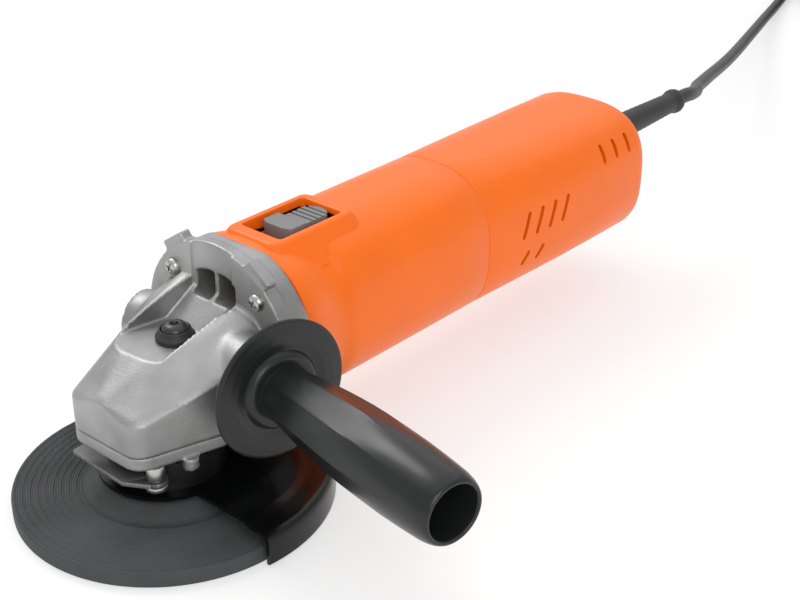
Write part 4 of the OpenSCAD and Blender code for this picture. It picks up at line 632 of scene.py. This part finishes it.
@dataclass
class GearHead:
    """The cast head with its flange, screws, bushes and lock button."""

    voxel: float = 0.6
    flange_voxel: float = 0.55
    crown_rounds: int = 70
    screw_x: float = 24.0
    screw_dz: float = 24.4
    screw_y: float = 30.0
    screw_r: float = 3.7
    button_y: float = 8.6
    spot_z: float = 67.0
    travel: float = 4.0

    def build(self) -> None:
        """Casts the head and the bearing flange and fits their small pieces."""
        head = Meshwork.cast("gear_head", "gear_head_casting", self.voxel, 5)
        self.crown(head)
        Meshwork.cast("bearing_flange", "bearing_flange_casting", self.flange_voxel, 3)
        self.screws()
        self.button()
        Meshwork.eased("lever_pivot", "lever_pivot_screw", 0.3)
        Meshwork.eased("handle_bushes", "handle_bush_pair", 0.3)

    def crown(self, head: bpy.types.Object) -> None:
        """Rounds the casting's top over, away from the channel, the front edge and the walls."""
        group = head.vertex_groups.new(name="crown")
        for vertex in head.data.vertices:
            x, y, z = vertex.co / MM
            in_channel = -22.0 < x < 11.6 and y > -13.0 and z > self.spot_z - 0.8
            if vertex.normal.z > 0.3 and z > 55.5 and y < 26.5 and not in_channel:
                group.add([vertex.index], 1.0, "REPLACE")
        soften = head.modifiers.new("soften", "SMOOTH")
        soften.factor, soften.iterations, soften.vertex_group = 0.5, self.crown_rounds, "crown"
        Meshwork.settle(head, CAST_SMOOTH_ANGLE)

    def screws(self) -> None:
        """Turns the four pan-head screws and cuts their cross recesses."""
        work = bmesh.new()
        r = self.screw_r
        for sx in (-1, 1):
            for sz in (-1, 1):
                place = Matrix.Translation((sx * self.screw_x, self.screw_y, AXIS_Z + sz * self.screw_dz))
                place = place @ Matrix.Rotation(math.radians(-90), 4, "X")
                profile = [(0.01, -2.6), (r * 0.45, -2.5), (r * 0.75, -2.1), (r * 0.93, -1.4), (r, -0.7),
                           (r, 0), (2.0, 0), (2.0, 26.5), (1.5, 27), (0.01, 27)]
                work.from_mesh(Meshwork.revolve(profile, place, 40))
        mesh = bpy.data.meshes.new("head_screws")
        work.to_mesh(mesh)
        work.free()
        screws = Meshwork.thing("head_screw_set", mesh, SCREW_ZINC)
        cutters = []
        for sx in (-1, 1):
            for sz in (-1, 1):
                for turn in (20, 110):
                    place = Matrix.Translation((sx * self.screw_x, self.screw_y - 2.4,
                                                AXIS_Z + sz * self.screw_dz))
                    place = place @ Matrix.Rotation(math.radians(turn), 4, "Y")
                    cutters.append(self.bar(place))
        for cutter in cutters:
            Meshwork.cut(screws, [cutter])
        Meshwork.fit(screws, "head_screws")

    @staticmethod
    def bar(place: Matrix) -> bpy.types.Mesh:
        """Makes one arm of a cross recess."""
        outline = ((-2.0, -0.42), (2.0, -0.42), (2.0, 0.42), (-2.0, 0.42))
        rings = [[place @ Vector((x, y, z)) for x, z in outline] for y in (-1.5, 1.0)]
        return Meshwork.loft(rings)

    def button(self) -> None:
        """Turns the lock button with its dimple, and the collar that it sinks into."""
        low, top = self.spot_z + self.travel + 0.2, self.spot_z + self.travel + 2.9
        place = Matrix.Translation((0, self.button_y, 0))
        profile = [(0.01, top - 1.4), (1.35, top - 1.3), (1.6, top - 0.5), (1.8, top - 0.12), (2.2, top),
                   (3.0, top - 0.1), (3.9, top - 0.45), (4.7, top - 1.05), (5.2, top - 1.75),
                   (5.38, top - 2.4), (5.3, low + 0.1), (5.1, low), (2.3, low), (2.3, self.spot_z - 1.5),
                   (1.53, self.spot_z - 1.5), (1.53, top - 1.9), (0.01, top - 1.9)]
        Meshwork.fit(Meshwork.thing("lock_button_cap", Meshwork.revolve(profile, place, 64), BLACK_PLASTIC),
                     "lock_button")
        z = self.spot_z
        collar = [(5.72, z), (7.85, z), (7.9, z + 0.3), (7.9, z + 1.5), (7.75, z + 2.0), (7.4, z + 2.4),
                  (6.9, z + 2.8), (6.6, z + 3.4), (6.45, z + 4.3), (6.25, z + 4.62), (5.95, z + 4.65),
                  (5.72, z + 4.4)]
        Meshwork.fit(Meshwork.thing("lock_button_seat", Meshwork.revolve(collar, place, 64, looped=True),
                                    SEAL_RUBBER), "lock_button_collar")


@dataclass
class MotorHousing:
    """The orange housing with its waist, barrel and switch frame."""

    bore_r: float = 30.1
    fan_bore_r: float = 29.2
    sections: tuple[tuple[float, float, float, float], ...] = (
        (45.0, 37.2, 36.2, 2.55), (45.3, 37.7, 36.7, 2.6), (45.9, 37.95, 36.95, 2.6), (49.0, 37.9, 36.9, 2.6),
        (53.0, 37.3, 36.3, 2.55), (57.0, 36.2, 35.4, 2.5), (61.0, 34.9, 34.5, 2.35), (65.0, 33.7, 33.9, 2.25),
        (68.0, 33.2, 33.7, 2.2), (70.5, 33.2, 33.8, 2.2), (72.5, 33.5, 34.2, 2.3), (74.0, 33.75, 34.8, 2.4),
        (75.5, 33.9, 35.25, 2.48), (77.5, 33.95, 35.45, 2.5), (81.0, 33.95, 35.5, 2.5), (110.0, 33.95, 35.5, 2.5),
        (140.0, 33.95, 35.5, 2.5), (162.4, 33.95, 35.45, 2.5), (163.2, 33.7, 35.2, 2.5), (163.5, 33.4, 34.9, 2.5))
    deck: tuple[float, float, float, float] = (-14.4, 14.4, 50.0, 96.0)
    well: tuple[float, float, float, float] = (-11.25, 11.25, 56.0, 91.5)
    deck_z: float = 96.05
    well_z: float = 88.6
    clear_z: float = 110.0

    def build(self) -> None:
        """Lofts the shell, cuts the switch well through it and sets the switch frame on it."""
        outer = [squarish(w, h, p, y) for y, w, h, p in self.sections]
        inner = [squarish(r, r, 2.0, y) for y, r in ((163.5, self.bore_r), (88.0, self.bore_r),
                                                     (88.0, self.fan_bore_r), (45.0, self.fan_bore_r))]
        shell = Meshwork.thing("motor_housing_shell", Meshwork.loft(outer + inner, looped=True), ORANGE_PLASTIC)
        x0, x1, y0, y1 = self.well
        Meshwork.cut(shell, [box_cutter((x0, y0, self.well_z), (x1, y1, self.clear_z))])
        Meshwork.fit(shell, "motor_housing")
        frame_piece = Meshwork.thing("switch_frame", self.frame_mesh(), ORANGE_PLASTIC)
        Meshwork.fit(frame_piece, "motor_housing")

    def frame_mesh(self) -> bpy.types.Mesh:
        """Makes the raised frame round the switch, open over the well."""
        dx0, dx1, dy0, dy1 = self.deck
        wx0, wx1, wy0, wy1 = self.well
        top = self.deck_z
        rings = []
        for z, grow in ((84.0, 9.0), (87.0, 6.6), (89.5, 4.8), (91.5, 3.2), (93.0, 2.0), (94.2, 1.1), (95.0, 0.5),
                        (95.6, -0.1), (95.95, -0.7), (top, -1.3)):
            rings.append(round_block(dx0, dx1, dy0, dy1, 4.2, z, grow))
        for z, grow in ((top, 0.7), (top - 0.25, 0.2), (top - 0.8, 0.0), (86.5, 0.0)):
            rings.append(round_block(wx0, wx1, wy0, wy1, 1.6, z, grow))
        return Meshwork.loft(rings, looped=True)


@dataclass
class RearCover:
    """The orange rear shell with its slots, vents and the lead's sleeve."""

    wall: float = 2.6
    sections: tuple[tuple[float, float, float, float], ...] = (
        (163.55, 33.4, 34.9, 2.5), (163.9, 33.75, 35.25, 2.5), (164.8, 33.95, 35.45, 2.5),
        (175.0, 34.45, 35.15, 2.55), (190.0, 35.1, 34.6, 2.65), (207.0, 35.9, 34.0, 2.75),
        (223.5, 36.45, 33.48, 2.85), (250.0, 36.45, 33.48, 2.9), (281.0, 36.4, 33.45, 2.9),
        (284.3, 35.9, 32.95, 2.85), (286.2, 34.9, 31.9, 2.8), (287.4, 33.4, 30.4, 2.75), (288.0, 31.2, 28.2, 2.7))
    sleeve_x: float = 15.0
    sleeve_z: float = 75.5
    rear_y: float = 288.0
    sleeve_l: float = 60.0

    def build(self) -> None:
        """Lofts the shell and cuts its openings."""
        outer = [squarish(w, h, p, y) for y, w, h, p in self.sections]
        inner = [squarish(w - self.wall, h - self.wall, p, min(y, self.rear_y - 3.4) - 0.05)
                 for y, w, h, p in reversed(self.sections[:-3])]
        inner[0] = [Vector((v.x * 0.9, self.rear_y - 3.0, AXIS_Z + (v.z - AXIS_Z) * 0.9)) for v in inner[0]]
        shell = Meshwork.thing("rear_cover_shell", Meshwork.loft([*inner, *outer]), ORANGE_PLASTIC)
        Meshwork.cut(shell, self.slots())
        Meshwork.fit(shell, "rear_cover")

    def slots(self) -> list[bpy.types.Mesh]:
        """Places the slanted side slots, the lower slots, the corner vents and the lead's hole."""
        cutters = []
        for side in (-1, 1):
            for k in range(4):
                place = Matrix.Translation((side * 35.5, 189.8 + 9.5 * k, AXIS_Z + 4.5))
                place = place @ Matrix.Rotation(math.radians(-21), 4, "X")
                place = place @ Matrix.Rotation(math.radians(90), 4, "X")
                cutters.append(stadium_cutter(13.5, 2.4, 10, place))
            for k in range(2):
                place = Matrix.Translation((side * 35.5, 190.5 + 10.5 * k, AXIS_Z - 12.3))
                place = place @ Matrix.Rotation(math.radians(-33), 4, "X")
                place = place @ Matrix.Rotation(math.radians(90), 4, "X")
                cutters.append(stadium_cutter(8, 2.4, 12, place))
            for k in range(3):
                place = Matrix.Translation((side * 31.5, 252 + 10.5 * k, AXIS_Z + 20))
                place = place @ Matrix.Rotation(math.radians(90), 4, "X")
                cutters.append(stadium_cutter(9, 2.4, 12, place))
        hole = Matrix.Translation((self.sleeve_x, self.rear_y - 12, self.sleeve_z)) @ Matrix.Rotation(
            math.radians(-90), 4, "X")
        cutters.append(Meshwork.revolve([(0.01, 0), (7.02, 0), (7.02, 30), (0.01, 30)], hole, 48))
        return cutters

    def sleeve(self) -> bpy.types.Object:
        """Turns the tapered sleeve with its end bead and shallow ribs, and returns it."""
        place = Matrix.Translation((self.sleeve_x, self.rear_y, self.sleeve_z)) @ Matrix.Rotation(
            math.radians(-90), 4, "X")
        length = self.sleeve_l
        profile = [(3.9, -5.5), (8.9, -5.5), (8.9, -3.7), (7.0, -3.7), (7.0, 0.4), (6.8, 1.2)]
        for k in range(1, 25):
            s = 1.2 + (length - 8.5) * k / 24
            profile.append((6.8 - 1.4 * k / 24 - (0.0 if k % 2 else 0.22), s))
        profile += [(5.45, length - 6.4), (6.1, length - 5.2), (6.45, length - 3.6), (6.45, length - 2.4),
                    (6.1, length - 1.0), (5.2, length - 0.1), (3.9, length)]
        return Meshwork.fit(Meshwork.thing("strain_relief_sleeve", Meshwork.revolve(
            profile, place, 56, looped=True), SLEEVE_RUBBER), "strain_relief")


@dataclass
class SlideSwitch:
    """The grey slider with its thumb ribs."""

    edge: float = 0.45

    def build(self) -> None:
        """Eases the slider's edges."""
        Meshwork.eased("switch_slider", "switch_slider_cap", self.edge, 3)


@dataclass
class SideHandle:
    """The side handle: grip and hand guard disc in one moulding."""

    boss_x: float = 34.0
    handle_y: float = 19.0
    handle_z: float = 60.0
    standoff: float = 15.2
    facets: int = 8
    disc_rings: int = 9
    facet_depth: float = 1.5
    hole_r: float = 10.4
    grip_l: float = 101.0
    grip: tuple[tuple[float, float], ...] = (
        (5.0, 11.15), (8.0, 11.2), (12.0, 11.6), (16.0, 12.1), (20.0, 12.6), (26.0, 13.3), (32.0, 13.85),
        (38.0, 14.3), (45.0, 14.7), (52.0, 14.9), (60.0, 14.9), (68.0, 14.9), (75.0, 14.85), (83.0, 14.5),
        (90.0, 14.1), (95.0, 13.75), (98.0, 13.2), (99.8, 12.6), (100.7, 12.1), (101.0, 11.6))

    def place(self) -> Matrix:
        """Stands +Z out along the handle from its disc."""
        matrix = Matrix.Translation((self.boss_x, self.handle_y, self.handle_z))
        matrix = matrix @ Matrix.Rotation(math.radians(-HANDLE_LEAN), 4, "Z")
        return matrix @ Matrix.Rotation(math.radians(90), 4, "Y") @ Matrix.Translation((0, 0, self.standoff))

    def facet(self, angle: float, radius: float, height: float) -> float:
        """Hollows the grip into spoon-shaped facets that run out towards its end."""
        if height < 5.0 or radius < 10.9 or height > 80.0:
            return radius
        rise = min(1.0, max(0.0, (height - 5.0) / 9.0))
        fall = min(1.0, max(0.0, (80.0 - height) / 40.0))
        share = (angle * self.facets / (2 * math.pi)) % 1.0
        hollow = math.sin(math.pi * share) ** 0.8
        return radius - self.facet_depth * hollow * rise * fall

    def profile(self) -> list[tuple[float, float]]:
        """Gives the closed outline: bore of the stud, disc, grip and the open end."""
        out = [(5.03, -13.9), (10.2, -13.9), (10.5, -13.5), (10.9, -2.9), (11.6, -2.5), (24.5, -2.5), (27.7, -1.0),
               (28.3, -0.1), (28.48, 0.6), (28.2, 1.15), (27.5, 1.4)]
        for k in range(self.disc_rings * 4 + 1):
            r = 26.6 - 9.6 * k / (self.disc_rings * 4)
            base = 1.4 + 0.5 * min(1.0, (27.5 - r) / 4.0) - max(0.0, (20.0 - r)) * 0.25
            out.append((r, base + 0.035 * math.cos(2 * math.pi * k / 4)))
        out += [(16.2, 1.1), (15.6, 2.0), (15.0, 2.9), (14.2, 3.45), (13.2, 3.6), (12.2, 3.4), (11.5, 3.3),
                (11.15, 4.2)]
        out += [(r, s) for s, r in self.grip]
        out += [(11.0, self.grip_l), (10.6, self.grip_l - 0.3), (self.hole_r, self.grip_l - 1.0),
                (self.hole_r, self.grip_l - 62.0), (5.03, self.grip_l - 62.0)]
        return out

    def build(self) -> None:
        """Turns and facets the handle."""
        mesh = Meshwork.revolve(self.profile(), self.place(), 144, looped=True, ripple=self.facet)
        Meshwork.fit(Meshwork.thing("side_handle_moulding", mesh, HANDLE_PLASTIC, 40.0), "handle_grip")


@dataclass
class GrindingEnd:
    """The wheel and its guard, with the guard's band and lever."""

    wheel_r: float = 62.5
    guard_r: float = 66.8
    guard_top: float = 16.0
    collar_r: float = 21.6
    band: float = 1.88
    band_top: float = 31.0
    band_low: float = 14.42
    nicks: int = 24

    def build(self) -> None:
        """Presses the wheel and forms the guard, band and lever."""
        self.wheel()
        self.guard()
        self.collar()
        Meshwork.eased("guard_lever", "guard_lever_plate", 0.28, 2)
        Meshwork.eased("clamp_nut", "clamp_nut_turned", 0.4)

    def wheel(self) -> None:
        """Turns the depressed-centre wheel with its pressed rings."""
        r = self.wheel_r
        profile = [(11.1, 5.5), (21.0, 5.5), (22.2, 4.6), (23.6, 0.5), (24.4, 0.02), (r - 0.6, 0.02),
                   (r - 0.1, 0.5), (r - 0.02, 1.2), (r - 0.02, 6.2), (r - 0.25, 6.8), (r - 0.8, 7.0)]
        for k in range(27):
            rr = 60.9 - k
            profile.append((rr + 0.3, 6.97))
            profile.append((rr, 6.75 if k % 3 else 6.6))
        profile += [(33.4, 6.95), (32.4, 7.05), (31.2, 7.9), (27.0, 10.9), (25.8, 11.75), (24.6, 12.0),
                    (11.1, 12.0)]
        mesh = Meshwork.revolve(profile, Matrix.Identity(4), 192, looped=True)
        Meshwork.fit(Meshwork.thing("grinding_wheel_pressed", mesh, WHEEL_ABRASIVE, 50.0), "grinding_wheel")

    def guard(self) -> None:
        """Forms the guard's sheet with its rolled shoulder, then cuts its open side."""
        top, r, t = self.guard_top, self.guard_r, 1.6
        outer = [(23.5, top), (52.0, top), (54.0, top - 0.3), (56.5, top - 1.3), (58.5, top - 1.5),
                 (63.4, top - 1.5), (64.9, top - 1.8), (66.1, top - 2.7), (66.7, top - 4.0), (r, top - 5.5),
                 (r, 1.3), (r - 0.3, 1.02)]
        inner = [(r - t + 0.3, 1.02), (r - t, 1.3), (r - t, top - 5.4), (r - t - 0.3, top - 4.3),
                 (64.4, top - 3.5), (63.4, top - 3.1), (58.3, top - 3.1), (56.2, top - 2.9), (54.0, top - 1.9),
                 (52.0, top - t), (23.5, top - t)]
        sheet = Meshwork.thing("guard_sheet", Meshwork.revolve(outer + inner, Matrix.Identity(4), 192, looped=True),
                               GUARD_BLACK)
        Meshwork.cut(sheet, [box_cutter((28.0, -90, -5), (90, -9, 40))])
        Meshwork.cut(sheet, [box_cutter((-90, -90, -5), (-28.0, 7, 40))])
        Meshwork.cut(sheet, [self.front_cutter()])
        Meshwork.fit(sheet, "guard_shell")

    @staticmethod
    def front_cutter() -> bpy.types.Mesh:
        """Makes the tool that clears the guard's front, outside the ring at its collar."""
        rings = []
        for z in (-5.0, 40.0):
            ring = [Vector((-29, 7, z)), Vector((-29, -90, z)), Vector((29, -90, z)), Vector((29, -9, z))]
            ring += [Vector((28 * math.cos(math.radians(a)), 28 * math.sin(math.radians(a)), z))
                     for a in range(-18, -196, -4)]
            rings.append(ring)
        return Meshwork.loft(rings)

    def collar(self) -> None:
        """Rolls the guard's band and nicks its upper edge."""
        r0, r1 = self.collar_r, self.collar_r + self.band - 0.05
        top, low = self.band_top, self.band_low
        profile = [(r0, low), (r1, low), (r1, top - 0.3), (r1 - 0.25, top), (r0 + 0.25, top), (r0, top - 0.3)]
        band = Meshwork.thing("guard_band", Meshwork.revolve(profile, Matrix.Identity(4), 160, looped=True),
                              COLLAR_STEEL)
        cutters = []
        for k in range(self.nicks):
            place = Matrix.Rotation(2 * math.pi * k / self.nicks, 4, "Z") @ Matrix.Translation((r1 + 0.2, 0, top - 1))
            cutters.append(stadium_cutter(4.5, 2.0, 2.0, place @ Matrix.Rotation(math.radians(90), 4, "X")))
        Meshwork.cut(band, cutters)
        Meshwork.fit(band, "guard_collar")


@dataclass
class InnerWorks:
    """The pieces that stay as the CAD made them, each with its own finish."""

    def build(self) -> None:
        """Gives every CAD node the finish of its slot."""
        for name, node in frame["nodes"].items():
            finish = FINISHES[material_slot(name)]
            if not node.material_slots:
                node.data.materials.append(finish.material())
            for held in node.material_slots:
                held.material = finish.material()
            log.info("%s has the finish %s", name, finish.name)


def main() -> None:
    """Builds the camera and the lead first, then every sub-assembly."""
    Camera().build()
    MainsLead().build(RearCover().sleeve())
    InnerWorks().build()
    for part in (GearHead(), MotorHousing(), RearCover(), SlideSwitch(), SideHandle(), GrindingEnd()):
        part.build()
    Studio().build()


if __name__ == "__main__":
    main()
